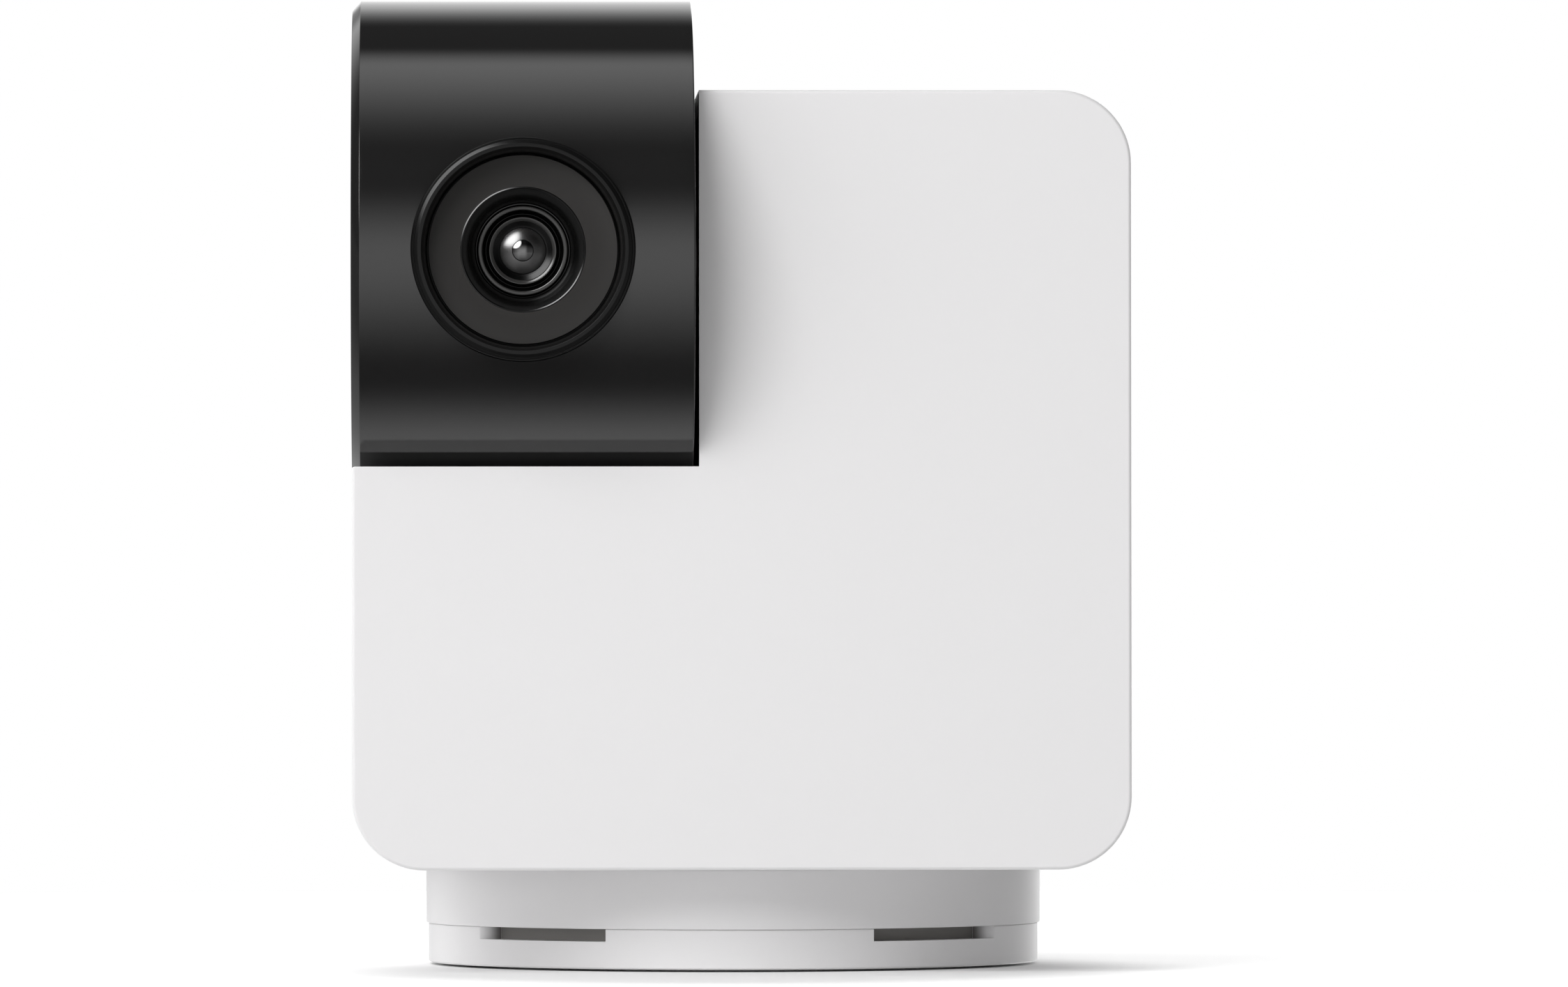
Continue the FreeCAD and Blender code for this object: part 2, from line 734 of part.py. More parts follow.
def slot_outline(profile, side, end):
    """One slot in the lower tier, as a wedge that reaches past its wall."""
    inner, outer = "(disc_radius - 2 * base_wall)", "(disc_radius * 1.2)"
    middle = "(slot_inner_angle + slot_outer_angle) / 2"
    spots = [
        (inner, "slot_inner_angle"),
        (outer, "slot_inner_angle"),
        (outer, middle),
        (outer, "slot_outer_angle"),
        (inner, "slot_outer_angle"),
    ]
    profile.polygon([(f"{side} * {r} * sin({angle})", f"{end} * {r} * cos({angle})") for r, angle in spots])


def base_cover():
    """The base's lower tier, with its slots, the insert's boss and the seats of the screws."""
    body = turned(
        "Z",
        [
            ("insert_radius", "foot_lift"),
            (f"{FOOT_RADIUS} - foot_width - fit_gap", "foot_lift"),
            (f"{FOOT_RADIUS} - foot_width - fit_gap", "foot_height"),
            (f"{FOOT_RADIUS} + fit_gap", "foot_height"),
            (f"{FOOT_RADIUS} + fit_gap", "foot_lift"),
            ("disc_radius - disc_edge", "foot_lift"),
            ("disc_radius", "foot_lift + disc_edge"),
            ("disc_radius", NECK_LOW),
            ("disc_radius - base_wall", NECK_LOW),
            ("disc_radius - base_wall", "foot_lift + base_floor"),
            ("insert_radius + insert_boss_wall", "foot_lift + base_floor"),
            ("insert_radius + insert_boss_wall", "foot_lift + insert_length + insert_cap"),
            ("0", "foot_lift + insert_length + insert_cap"),
            ("0", "foot_lift + insert_length"),
            ("insert_radius", "foot_lift + insert_length"),
        ],
    )
    floor = "foot_lift + base_floor"
    seat = f"{floor} + seat_height"
    pad(body, "XY", floor, seat, circles(BASE_BOSSES, "screw_head_radius + seat_wall"))
    pad(body, "XY", floor, PORT_BOARD_LOW, circles(PORT_POSTS, "port_post_radius"))
    hole_low = f"{PORT_BOARD_LOW} - port_screw_grip - blind_gap"
    pocket(body, "XY", hole_low, PORT_BOARD_LOW, circles(PORT_POSTS, "small_screw_radius"))
    sink = "foot_lift + screw_head_height + fit_gap"
    pocket(body, "XY", "foot_lift", sink, circles(BASE_BOSSES, "screw_head_radius + fit_gap"))
    pocket(body, "XY", "foot_lift", seat, circles(BASE_BOSSES, "screw_radius + fit_gap"))
    for side in (-1, 1):
        for end in (-1, 1):
            pocket(
                body,
                "XY",
                f"{NECK_LOW} - slot_height",
                NECK_LOW,
                lambda p, side=side, end=end: slot_outline(p, side, end),
            )
    return keep("base_cover", body)


def base_small_parts():
    """The foot, the threaded insert, the washer and the screws of the base."""
    inner, outer = f"{FOOT_RADIUS} - foot_width", FOOT_RADIUS
    foot = turned(
        "Z",
        [
            (f"{inner} + foot_edge", "0"),
            (f"{outer} - foot_edge", "0"),
            (outer, "foot_edge"),
            (outer, "foot_height"),
            (inner, "foot_height"),
            (inner, "foot_edge"),
        ],
    )
    keep("foot_ring", foot)
    insert = tube("insert_bore", "insert_radius", "foot_lift", "foot_lift + insert_length")
    keep("tripod_insert", turned("Z", insert))
    inner = "hub_radius + washer_gap"
    washer = tube(inner, f"{inner} + washer_width", "base_height", "base_height + washer_thickness")
    keep("thrust_washer", turned("Z", washer))
    under = "foot_lift + screw_head_height + fit_gap"
    length = f"{ROOF_LOW} - base_boss_roof - blind_gap - ({under})"
    keep("base_screws", group(*[screw("Z", x, y, under, length, 1, socket=True) for x, y in BASE_BOSSES]))
    seat = f"{GEAR_HIGH} - screw_head_height - fit_gap"
    length = f"{seat} - ({GEAR_LOW} - hub_screw_grip)"
    keep("pan_gear_screws", group(*[screw("Z", x, y, seat, length, -1) for x, y in HUB_SCREWS]))


def power_inlet():
    """The board in the base, its socket and the plug of the wires that go up through the hub."""
    half = "port_board_width / 2"
    board = box(f"-{half}", half, PORT_BOARD_FRONT, PORT_BOARD_REAR, PORT_BOARD_LOW, PORT_BOARD_HIGH)
    holes = [rod("Z", x, y, PORT_BOARD_LOW, "small_screw_radius", "board_thickness") for x, y in PORT_POSTS]
    keep("port_board", cut(board, *holes))
    length = "board_thickness + port_screw_grip"
    screws = [screw("Z", x, y, PORT_BOARD_HIGH, length, -1, small=True) for x, y in PORT_POSTS]
    keep("port_board_screws", group(*screws))
    shell = new_body()
    start = f"{PORT_REAR} - port_depth"

    def outline(profile, wall):
        across, up = f"(port_width / 2 - {wall})", f"(port_height / 2 - {wall})"
        profile.rounded(f"-{across}", across, f"{PORT_Z} - {up}", f"{PORT_Z} + {up}", f"0.9 * {up}")

    pad(shell, "XZ", start, PORT_REAR, lambda p: outline(p, "0"))
    pocket(shell, "XZ", f"{start} + port_wall", PORT_REAR, lambda p: outline(p, "port_wall"))
    keep("power_socket_shell", shell)
    tongue = box(
        "-tongue_width / 2",
        "tongue_width / 2",
        f"{start} + port_wall",
        f"{PORT_REAR} - port_inset",
        f"{PORT_Z} - tongue_height / 2",
        f"{PORT_Z} + tongue_height / 2",
    )
    keep("power_socket_tongue", tongue)
    plug_front = f"({PORT_BOARD_FRONT} + plug_setback)"
    plug = box(
        "-plug_width / 2",
        "plug_width / 2",
        plug_front,
        f"{plug_front} + plug_depth",
        PORT_BOARD_HIGH,
        f"{WIRE_Z} + wire_radius",
    )
    keep("harness_plug", plug)
    bend_top = f"({WIRE_Z} + wire_bend)"
    wires = fuse(
        rod("Y", "0", "wire_bend", WIRE_Z, "wire_radius", f"{plug_front} - wire_bend"),
        quarter_bend("0", "wire_bend", bend_top, "wire_bend", "wire_radius", (0, 0, -1), (0, -1, 0)),
        rod("Z", "0", "0", bend_top, "wire_radius", f"{PAN_PLATE_HIGH} - pan_gap - {bend_top}"),
    )
    keep("pan_harness", wires)


# Gears and motors


def gear_face(teeth, bore, gap_at_start=False):
    """A spur gear's outline about the origin as a face, with involute flanks thinned for backlash."""
    module, angle = number("gear_module"), math.radians(number("pressure_angle"))
    pitch = module * teeth / 2
    base = pitch * math.cos(angle)
    root, tip = pitch - 1.25 * module, pitch + 0.9 * module

    def half_width(radius):
        """Half of the tooth's angle at a radius."""
        tilt = math.acos(min(1.0, base / radius))
        at_pitch = math.tan(angle) - angle
        half = math.pi / (2 * teeth) * (1 - number("backlash"))
        return half + at_pitch - (math.tan(tilt) - tilt)

    def spot(radius, turn):
        """A point of the face at a radius and an angle."""
        return FreeCAD.Vector(radius * math.cos(turn), radius * math.sin(turn), 0)

    foot = max(root, base)
    radii = (foot, (foot + tip) / 2, tip)
    pitch_angle = 2 * math.pi / teeth
    edges = []
    for tooth in range(teeth):
        centre = pitch_angle * (tooth + (0.5 if gap_at_start else 0))
        rise = [spot(r, centre - half_width(r)) for r in radii]
        fall = [spot(r, centre + half_width(r)) for r in reversed(radii)]
        if base > root:
            edges.append(Part.LineSegment(spot(root, centre - half_width(foot)), rise[0]).toShape())
        edges.append(Part.Arc(*rise).toShape())
        edges.append(Part.Arc(rise[2], spot(tip, centre), fall[0]).toShape())
        edges.append(Part.Arc(*fall).toShape())
        if base > root:
            edges.append(Part.LineSegment(fall[2], spot(root, centre + half_width(foot))).toShape())
        low = foot if base <= root else root
        end, following = centre + half_width(foot), centre + pitch_angle - half_width(foot)
        valley = Part.Arc(spot(low, end), spot(root, (end + following) / 2), spot(low, following))
        edges.append(valley.toShape())
    outline = Part.Wire(Part.__sortEdges__(edges))
    wires = [outline]
    if bore:
        wires.append(Part.Wire(Part.makeCircle(bore)))
    return Part.Face(wires, "Part::FaceMakerBullseye")


def spur_gear(teeth, bore, turn=0.0, gap_at_start=False):
    """A spur gear along +Z as a shape, turned about its own axis."""
    face = gear_face(int(number(teeth)), number(bore) if bore else 0, gap_at_start)
    solid = face.extrude(FreeCAD.Vector(0, 0, number("gear_face")))
    solid.rotate(FreeCAD.Vector(), FreeCAD.Vector(0, 0, 1), turn)
    return solid


def shaped(shape, axis="Z", x=0, y=0, z=0):
    """A feature that holds a shape made by formula, with its place tied to the sheet."""
    feature = doc.addObject("Part::Feature", "shaped")
    feature.Shape = shape
    return place(feature, x, y, z, AXES[axis])


def pan_drive():
    """The fixed gear on the hub and the pinion that rolls round it."""
    blank = shaped(spur_gear("pan_gear_teeth", "hub_bore", number("pan_drive_angle")), z=GEAR_LOW)
    sink = f"{GEAR_HIGH} - screw_head_height - fit_gap"
    holes = []
    for x, y in HUB_SCREWS:
        holes.append(rod("Z", x, y, GEAR_LOW, "screw_radius", "gear_face"))
        holes.append(rod("Z", x, y, sink, "screw_head_radius + fit_gap", "screw_head_height + fit_gap"))
    keep("pan_gear", cut(blank, *holes))
    facing = number("pan_drive_angle") + 180
    toothed = spur_gear("pinion_teeth", None, facing, gap_at_start=True)
    pinion = shaped(toothed, x=PAN_DRIVE_X, y=PAN_DRIVE_Y, z=GEAR_LOW)
    length = f"{PAN_PLATE_HIGH} + shaft_length - {GEAR_HIGH}"
    shaft = rod("Z", PAN_DRIVE_X, PAN_DRIVE_Y, GEAR_HIGH, "shaft_radius", length)
    keep("pan_pinion", fuse(pinion, shaft))


def motor(axis, x, y, z, ears):
    """A stepper motor from its mounting face, with its can towards + of the axis and a hole for its shaft."""
    can = rod(axis, x, y, z, "motor_radius", "motor_length")
    flanges = [rod(axis, *ear, "motor_ear_radius", "motor_ear_thickness") for ear in ears]
    holes = [rod(axis, *ear, "screw_radius", "motor_ear_thickness") for ear in ears]
    holes.append(rod(axis, x, y, z, "shaft_radius + running_gap", "shaft_length + blind_gap"))
    return cut(fuse(can, *flanges), *holes)


def pan_motor_group():
    """The pan motor on its plate, over three posts of the body's floor."""
    keep("pan_motor", motor("Z", PAN_DRIVE_X, PAN_DRIVE_Y, PAN_PLATE_HIGH, PAN_EARS))
    (right, rear), (left, front) = PAN_POSTS[1:]
    plate = box(
        f"{left} - plate_margin",
        f"{right} + plate_margin",
        f"{front} - plate_margin",
        f"{rear} + plate_margin",
        PAN_PLATE_LOW,
        PAN_PLATE_HIGH,
    )
    holes = [rod("Z", x, y, PAN_PLATE_LOW, "screw_radius", "plate_thickness") for x, y in PAN_POSTS]
    holes += [rod("Z", x, y, PAN_PLATE_LOW, "screw_radius", "plate_thickness") for x, y, z in PAN_EARS]
    passage = rod("Z", PAN_DRIVE_X, PAN_DRIVE_Y, PAN_PLATE_LOW, "shaft_radius + shaft_gap", "plate_thickness")
    holes.append(passage)
    holes.append(rod("Z", "0", "0", PAN_PLATE_LOW, "wire_radius + harness_gap", "plate_thickness"))
    keep("pan_motor_bracket", cut(plate, *holes))


def tilt_motor_group():
    """The tilt motor on its plate, over three posts of the cradle."""
    keep("tilt_motor", motor("X", TILT_PLATE_RIGHT, TILT_DRIVE_Y, HEAD_Z, TILT_EARS))
    left = TILT_PLATE_LEFT
    plate = box(
        left,
        TILT_PLATE_RIGHT,
        f"{HEAD_Y} - tilt_plate_front",
        "cradle_reach - tilt_plate_clearance",
        f"{HEAD_Z} - tilt_post_drop - plate_margin",
        f"{BODY_HIGH} - wall - tilt_plate_clearance",
    )
    holes = [rod("X", left, y, z, "screw_radius", "plate_thickness") for y, z in TILT_POSTS]
    holes += [rod("X", left, y, z, "screw_radius", "plate_thickness") for x, y, z in TILT_EARS]
    holes.append(rod("X", left, TILT_DRIVE_Y, HEAD_Z, "shaft_radius + shaft_gap", "plate_thickness"))
    holes.append(rod("X", left, HEAD_Y, HEAD_Z, "wire_radius + harness_gap", "plate_thickness"))
    keep("tilt_motor_bracket", cut(plate, *holes))


def drive_screws():
    """The screws of both brackets and of the cradle, and those of both motors."""
    length = "plate_thickness + screw_grip"
    screws = [screw("Z", x, y, PAN_PLATE_HIGH, length, -1) for x, y in PAN_POSTS]
    screws += [screw("X", TILT_PLATE_RIGHT, y, z, length, -1) for y, z in TILT_POSTS]
    length = "tab_thickness + screw_grip"
    screws += [screw("Y", x, TAB_REAR, z, length, -1) for x, z in (SIDE_TAB, LOWER_TAB)]
    keep("bracket_screws", group(*screws))
    ear, length = "motor_ear_thickness", "motor_ear_thickness + plate_thickness"
    screws = [screw("Z", x, y, f"{z} + {ear}", length, -1) for x, y, z in PAN_EARS]
    screws += [screw("X", f"{x} + {ear}", y, z, length, -1) for x, y, z in TILT_EARS]
    keep("motor_screws", group(*screws))


def tilt_drive():
    """The gear on the head's trunnion, the clip that holds it and the motor's pinion."""
    quarter = 90.0
    gear = spur_gear("tilt_gear_teeth", "trunnion_radius", quarter)
    keep("tilt_gear", shaped(gear, "X", TILT_GEAR_LEFT, HEAD_Y, HEAD_Z))
    toothed = spur_gear("pinion_teeth", None, -quarter, gap_at_start=True)
    pinion = shaped(toothed, "X", TILT_GEAR_LEFT, TILT_DRIVE_Y, HEAD_Z)
    length = f"{TILT_PLATE_RIGHT} + shaft_length - {TILT_GEAR_RIGHT}"
    shaft = rod("X", TILT_GEAR_RIGHT, TILT_DRIVE_Y, HEAD_Z, "shaft_radius", length)
    keep("tilt_pinion", fuse(pinion, shaft))
    inner = "trunnion_radius - clip_grip"
    corners = [
        (TILT_GEAR_RIGHT, inner),
        (CLIP_RIGHT, inner),
        (CLIP_RIGHT, "clip_radius"),
        (TILT_GEAR_RIGHT, "clip_radius"),
    ]
    keep("tilt_clip", turned("X", corners, y=HEAD_Y, z=HEAD_Z))


# The turning body


def inner_outline(profile, gap="0"):
    """The outline of the space inside the body's walls, or of what fits it with a gap."""
    inset = f"(wall + {gap})"
    profile.rounded(
        f"{LEFT} + {inset}",
        f"{RIGHT} - {inset}",
        f"{BODY_LOW} + {inset}",
        f"{BODY_HIGH} - {inset}",
        f"corner_radius - {inset}",
    )


def front_housing():
    """The white shell: the front and the four sides in one piece, open at the rear."""
    body = new_body()
    outer = (LEFT, RIGHT, BODY_LOW, BODY_HIGH, "corner_radius")
    block = pad(body, "XZ", FRONT, REAR_INSIDE, lambda p: p.rounded(*outer))
    round_edges(body, block, "Y", FRONT, "front_edge")
    pocket(body, "XZ", f"{FRONT} + wall", REAR_INSIDE, inner_outline)
    boss_end = f"{REAR_INSIDE} - rear_lip"
    pad(body, "XZ", f"{boss_end} - rear_boss_length", boss_end, circles(REAR_BOSSES, "rear_boss_radius"))
    hole_start = f"{boss_end} - rear_screw_grip - blind_gap"
    pocket(body, "XZ", hole_start, boss_end, circles(REAR_BOSSES, "screw_radius"))
    pad(body, "XY", FLOOR, PAN_PLATE_LOW, circles(PAN_POSTS, "post_radius"))
    hole_low = f"{PAN_PLATE_LOW} - screw_grip - blind_gap"
    pocket(body, "XY", hole_low, PAN_PLATE_LOW, circles(PAN_POSTS, "screw_radius"))
    tabs = (SIDE_TAB, LOWER_TAB)
    pad(body, "XZ", f"{FRONT} + wall", TAB_FRONT, circles(tabs, "post_radius"))
    pocket(body, "XZ", f"{TAB_FRONT} - screw_grip - blind_gap", TAB_FRONT, circles(tabs, "screw_radius"))
    pocket(body, "YZ", f"{LEFT} - cut_margin", CRADLE_LEFT, circles([(HEAD_Y, HEAD_Z)], POCKET_RADIUS))
    bush_radius = "hub_radius + running_gap + bush_wall"
    pocket(body, "XY", BODY_LOW, FLOOR, circles([("0", "0")], bush_radius))
    slot_middle = f"({BOARD_REAR} + card_socket_height / 2)"
    pocket(
        body,
        "YZ",
        f"{RIGHT} - wall - cut_margin",
        f"{RIGHT} + cut_margin",
        lambda p: p.rounded(
            f"{slot_middle} - card_slot_height / 2",
            f"{slot_middle} + card_slot_height / 2",
            f"{BOARD_MIDDLE} - card_slot_width / 2",
            f"{BOARD_MIDDLE} + card_slot_width / 2",
            "0.3 * card_slot_height",
        ),
    )
    return keep("front_housing", body)


def rear_cover():
    """The rear wall, with the grille, the boards' posts and the holes of the button and the microphone."""
    body = new_body()
    outer = (LEFT, RIGHT, BODY_LOW, BODY_HIGH, "corner_radius")
    block = pad(body, "XZ", REAR_INSIDE, REAR, lambda p: p.rounded(*outer))
    round_edges(body, block, "Y", REAR, "rear_edge")
    lip_start = f"{REAR_INSIDE} - rear_lip"
    pad(
        body,
        "XZ",
        lip_start,
        REAR_INSIDE,
        lambda p: [inner_outline(p, "fit_gap"), inner_outline(p, "fit_gap + lip_wall")],
    )
    pad(body, "XZ", lip_start, REAR_INSIDE, circles(REAR_BOSSES, "rear_boss_radius - rear_boss_step"))
    pad(body, "XZ", BOARD_REAR, REAR_INSIDE, circles(BOARD_POSTS, "board_post_radius"))
    hole_end = f"{BOARD_REAR} + small_screw_grip + blind_gap"
    pocket(body, "XZ", BOARD_REAR, hole_end, circles(BOARD_POSTS, "small_screw_radius"))
    pad(
        body,
        "XZ",
        f"{REAR_INSIDE} - gasket_thickness - speaker_rim",
        REAR_INSIDE,
        lambda p: [
            p.circle("0", SPEAKER_Z, "speaker_radius + speaker_gap + lip_wall"),
            p.circle("0", SPEAKER_Z, "speaker_radius + speaker_gap"),
        ],
    )
    sleeve = (f"{REAR_INSIDE} - sleeve_height", REAR_INSIDE)
    pad(body, "XZ", *sleeve, circles([MICROPHONE], "boot_radius + sleeve_wall"))
    pocket(body, "XZ", *sleeve, circles([MICROPHONE], "boot_radius"))
    through = (f"{REAR_INSIDE} - cut_margin", f"{REAR} + cut_margin")
    pocket(body, "XZ", *through, circles([BUTTON], "button_radius + button_gap"))
    pocket(body, "XZ", *through, circles([MICROPHONE], "boot_bore"))
    pocket(body, "XZ", lip_start, REAR, circles(REAR_BOSSES, "screw_radius + fit_gap"))
    seat = f"{REAR} - screw_head_height - rear_screw_sink"
    pocket(body, "XZ", seat, REAR, circles(REAR_BOSSES, "screw_head_radius + fit_gap"))
    rings = int(number("grille_rings"))

    def grille(profile):
        """A middle hole with rings of holes about it."""
        profile.circle("0", SPEAKER_Z, "grille_hole_radius")
        for ring in range(1, rings + 1):
            for hole in range(6 * ring):
                angle = 360 * hole / (6 * ring)
                profile.circle(
                    f"{ring} * grille_pitch * cos({angle})",
                    f"{SPEAKER_Z} + {ring} * grille_pitch * sin({angle})",
                    "grille_hole_radius",
                )

    pocket(body, "XZ", *through, grille)
    keep("rear_cover", body)
    length = "rear_thickness + rear_lip - screw_head_height - rear_screw_sink + rear_screw_grip"
    screws = [screw("Y", x, seat, z, length, -1, socket=True) for x, z in REAR_BOSSES]
    keep("rear_cover_screws", group(*screws))


def head_cradle():
    """The black liner of the head's pocket, with the side plate that carries the head and the tilt motor."""
    inside = new_body()
    pad(inside, "XZ", f"{FRONT} + wall", "cradle_reach", inner_outline)
    length = f"{CRADLE_RIGHT} - {LEFT} - wall"
    shell = rod("X", f"{LEFT} + wall", HEAD_Y, HEAD_Z, f"{POCKET_RADIUS} + cradle_wall", length)
    top = f"{BODY_HIGH} - wall"
    plate = box(CRADLE_LEFT, CRADLE_RIGHT, f"{FRONT} + wall", "cradle_reach", CRADLE_LOW, top)
    lined = doc.addObject("Part::Common", "lined")
    lined.Base = fuse(shell, plate)
    lined.Tool = inside
    seat_radius = "(trunnion_radius + running_gap + tilt_bush_wall)"
    boss_radius = f"{seat_radius} + cradle_boss_wall"
    boss_depth = "cradle_wall + cradle_boss_length"
    pieces = [lined, rod("X", CRADLE_RIGHT, HEAD_Y, HEAD_Z, boss_radius, "cradle_boss_length")]
    left = f"{LEFT} - cut_margin"
    holes = [
        rod("X", left, HEAD_Y, HEAD_Z, POCKET_RADIUS, f"{CRADLE_LEFT} - ({left})"),
        rod("X", CRADLE_LEFT, HEAD_Y, HEAD_Z, seat_radius, boss_depth),
    ]
    hole_depth = "screw_grip + blind_gap"
    for y, z in TILT_POSTS:
        pieces.append(rod("X", CRADLE_RIGHT, y, z, "post_radius", f"{TILT_PLATE_LEFT} - {CRADLE_RIGHT}"))
        holes.append(rod("X", f"{TILT_PLATE_LEFT} - ({hole_depth})", y, z, "screw_radius", hole_depth))
    x, z = SIDE_TAB
    side = box(
        CRADLE_LEFT, f"{x} + post_radius", TAB_FRONT, TAB_REAR, f"{z} - post_radius", f"{z} + post_radius"
    )
    holes.append(rod("Y", x, TAB_FRONT, z, "screw_radius", "tab_thickness"))
    x, z = LOWER_TAB
    lower = box(
        f"{x} - tab_width / 2",
        f"{x} + tab_width / 2",
        TAB_FRONT,
        TAB_REAR,
        f"{z} - post_radius",
        f"{z} + post_radius + tab_overlap",
    )
    holes.append(rod("Y", x, TAB_FRONT, z, "screw_radius", "tab_thickness"))
    keep("head_cradle", cut(fuse(*pieces, side, lower), *holes))


def bushes():
    """The plain bearings of the pan hub and of the head's trunnion."""
    inner = "hub_radius + running_gap"
    outer = f"{inner} + bush_wall"
    flange = f"{outer} + bush_flange_width"
    top = f"{FLOOR} + bush_flange"
    corners = [
        (inner, BODY_LOW),
        (outer, BODY_LOW),
        (outer, FLOOR),
        (flange, FLOOR),
        (flange, top),
        (inner, top),
    ]
    keep("pan_bush", turned("Z", corners))
    inner = "trunnion_radius + running_gap"
    outer = f"{inner} + tilt_bush_wall"
    right = f"{CRADLE_RIGHT} + cradle_boss_length"
    corners = [(CRADLE_LEFT, inner), (right, inner), (right, outer), (CRADLE_LEFT, outer)]
    keep("tilt_bush", turned("X", corners, y=HEAD_Y, z=HEAD_Z))


def electronics():
    """The main board and what it carries."""
    half = "(body_width / 2 - wall - main_board_gap)"
    board = box(f"-{half}", half, BOARD_FRONT, BOARD_REAR, BOARD_LOW, BOARD_HIGH)
    holes = [rod("Y", x, BOARD_FRONT, z, "small_screw_radius", "board_thickness") for x, z in BOARD_POSTS]
    keep("main_board", cut(board, *holes))
    length = "board_thickness + small_screw_grip"
    screws = [screw("Y", x, BOARD_FRONT, z, length, 1, small=True) for x, z in BOARD_POSTS]
    keep("board_screws", group(*screws))
    x, width, chip = "processor_place", "processor_width", f"{BOARD_FRONT} - processor_thickness"
    keep("processor", centred_block(x, width, chip, BOARD_FRONT, BOARD_MIDDLE, width))
    plate = (f"{chip} - spreader_thickness", chip)
    keep("heat_spreader", centred_block(x, "spreader_width", *plate, BOARD_MIDDLE, "spreader_height"))
    shield = (f"{BOARD_FRONT} - shield_thickness", BOARD_FRONT)
    x = f"shield_inset - {half}"
    keep("shield_can", centred_block(x, "shield_width", *shield, BOARD_MIDDLE, "shield_height"))
    socket_right = f"({half} + card_socket_overhang)"
    keep(
        "card_socket",
        box(
            f"{socket_right} - card_socket_length",
            socket_right,
            BOARD_REAR,
            f"{BOARD_REAR} + card_socket_height",
            f"{BOARD_MIDDLE} - card_socket_width / 2",
            f"{BOARD_MIDDLE} + card_socket_width / 2",
        ),
    )
    x, z = BUTTON
    top = f"{BOARD_REAR} + switch_height"
    keep("reset_switch", centred_block(x, "switch_width", BOARD_REAR, top, z, "switch_width"))
    x, z = MICROPHONE
    top = f"{BOARD_REAR} + microphone_height"
    keep("microphone", centred_block(x, "microphone_width", BOARD_REAR, top, z, "microphone_width"))
    keep("microphone_boot", turned("Y", tube("boot_bore", "boot_radius", top, REAR_INSIDE), x=x, z=z))
    inside = f"{RIGHT} - wall"
    keep(
        "antenna",
        box(
            f"{inside} - antenna_thickness",
            inside,
            "-antenna_length / 2",
            "antenna_length / 2",
            f"{BODY_HIGH} - corner_radius - antenna_drop - antenna_width",
            f"{BODY_HIGH} - corner_radius - antenna_drop",
        ),
    )


def centred_block(x, width, front, rear, z, height):
    """A block between two levels of depth, centred across and up."""
    return box(
        f"{x} - {width} / 2", f"{x} + {width} / 2", front, rear, f"{z} - {height} / 2", f"{z} + {height} / 2"
    )


def wiring():
    """The connectors in the body and the wires between them."""
    low, high = CONNECTOR_LOW, f"{CONNECTOR_LOW} + connector_height"
    front = f"({BOARD_FRONT} - connector_depth)"
    spots = ("-speaker_plug_place", "0", TILT_CABLE_X, "pan_plug_place")
    connectors = [
        box(f"{x} - connector_width / 2", f"{x} + connector_width / 2", front, BOARD_FRONT, low, high)
        for x in spots
    ]
    half = "connector_width / 2"
    pan_top = f"{PAN_PLATE_HIGH} + connector_height"
    connectors.append(box(f"-{half}", half, f"-{half}", half, PAN_PLATE_HIGH, pan_top))
    connectors.append(
        box(
            TILT_PLATE_RIGHT,
            f"{TILT_PLATE_RIGHT} + connector_height",
            f"{HEAD_Y} - {half}",
            f"{HEAD_Y} + {half}",
            f"{HEAD_Z} - {half}",
            f"{HEAD_Z} + {half}",
        )
    )
    keep("cable_connectors", group(*connectors))
    level = f"({PAN_PLATE_HIGH} + connector_height / 2)"
    upright = f"({BOARD_FRONT} - connector_depth / 2)"
    bend_y, bend_z = f"({upright} - cable_bend)", f"({level} + cable_bend)"
    wires = fuse(
        rod("Y", "0", half, level, "wire_radius", f"{bend_y} - {half}"),
        quarter_bend("0", bend_y, bend_z, "cable_bend", "wire_radius", (0, 0, -1), (0, 1, 0)),
        rod("Z", "0", upright, bend_z, "wire_radius", f"{low} - {bend_z}"),
    )
    keep("main_harness", wires)
    x = TILT_CABLE_X
    low_z = f"({CONNECTOR_LOW} + connector_height / 2)"
    bend_y, bend_z = f"({HEAD_Y} + cable_bend)", f"({low_z} + cable_bend)"
    cable = fuse(
        rod("Z", x, HEAD_Y, bend_z, "wire_radius", f"{HEAD_Z} - {half} - {bend_z}"),
        quarter_bend(x, bend_y, bend_z, "cable_bend", "wire_radius", (0, -1, 0), (0, 0, -1)),
        rod("Y", x, bend_y, low_z, "wire_radius", f"{front} - {bend_y}"),
    )
    keep("tilt_cable", cable)


def speaker_and_button():
    """The speaker behind its gasket, and the reset button."""
    rear = f"({REAR_INSIDE} - gasket_thickness)"
    front = f"({rear} - speaker_depth)"
    corners = [
        ("0", front),
        ("magnet_radius", front),
        ("magnet_radius", f"{front} + magnet_height"),
        ("speaker_radius", f"{front} + basket_height"),
        ("speaker_radius", rear),
        ("speaker_radius - speaker_land", rear),
        ("cone_radius", f"{rear} - cone_depth"),
        ("0", f"{rear} - dust_cap_depth"),
    ]
    keep("speaker", turned("Y", corners, z=SPEAKER_Z))
    gasket = tube("speaker_radius - speaker_land", "speaker_radius", rear, REAR_INSIDE)
    keep("speaker_gasket", turned("Y", gasket, z=SPEAKER_Z))
    low = f"{BOARD_REAR} + switch_height + button_travel + fit_gap"
    flange_rear = f"{REAR_INSIDE} - pan_gap"
    flange_front = f"{flange_rear} - button_flange_thickness"
    top = f"{REAR} - button_inset"
    corners = [
        ("0", low),
        ("button_radius", low),
        ("button_radius", flange_front),
        ("button_radius + button_flange", flange_front),
        ("button_radius + button_flange", flange_rear),
        ("button_radius", flange_rear),
        ("button_radius", f"{top} - button_edge"),
        ("button_radius - button_edge", top),
        ("0", top),
    ]
    keep("reset_button", turned("Y", corners, x=BUTTON[0], z=BUTTON[1]))


# The tilting head


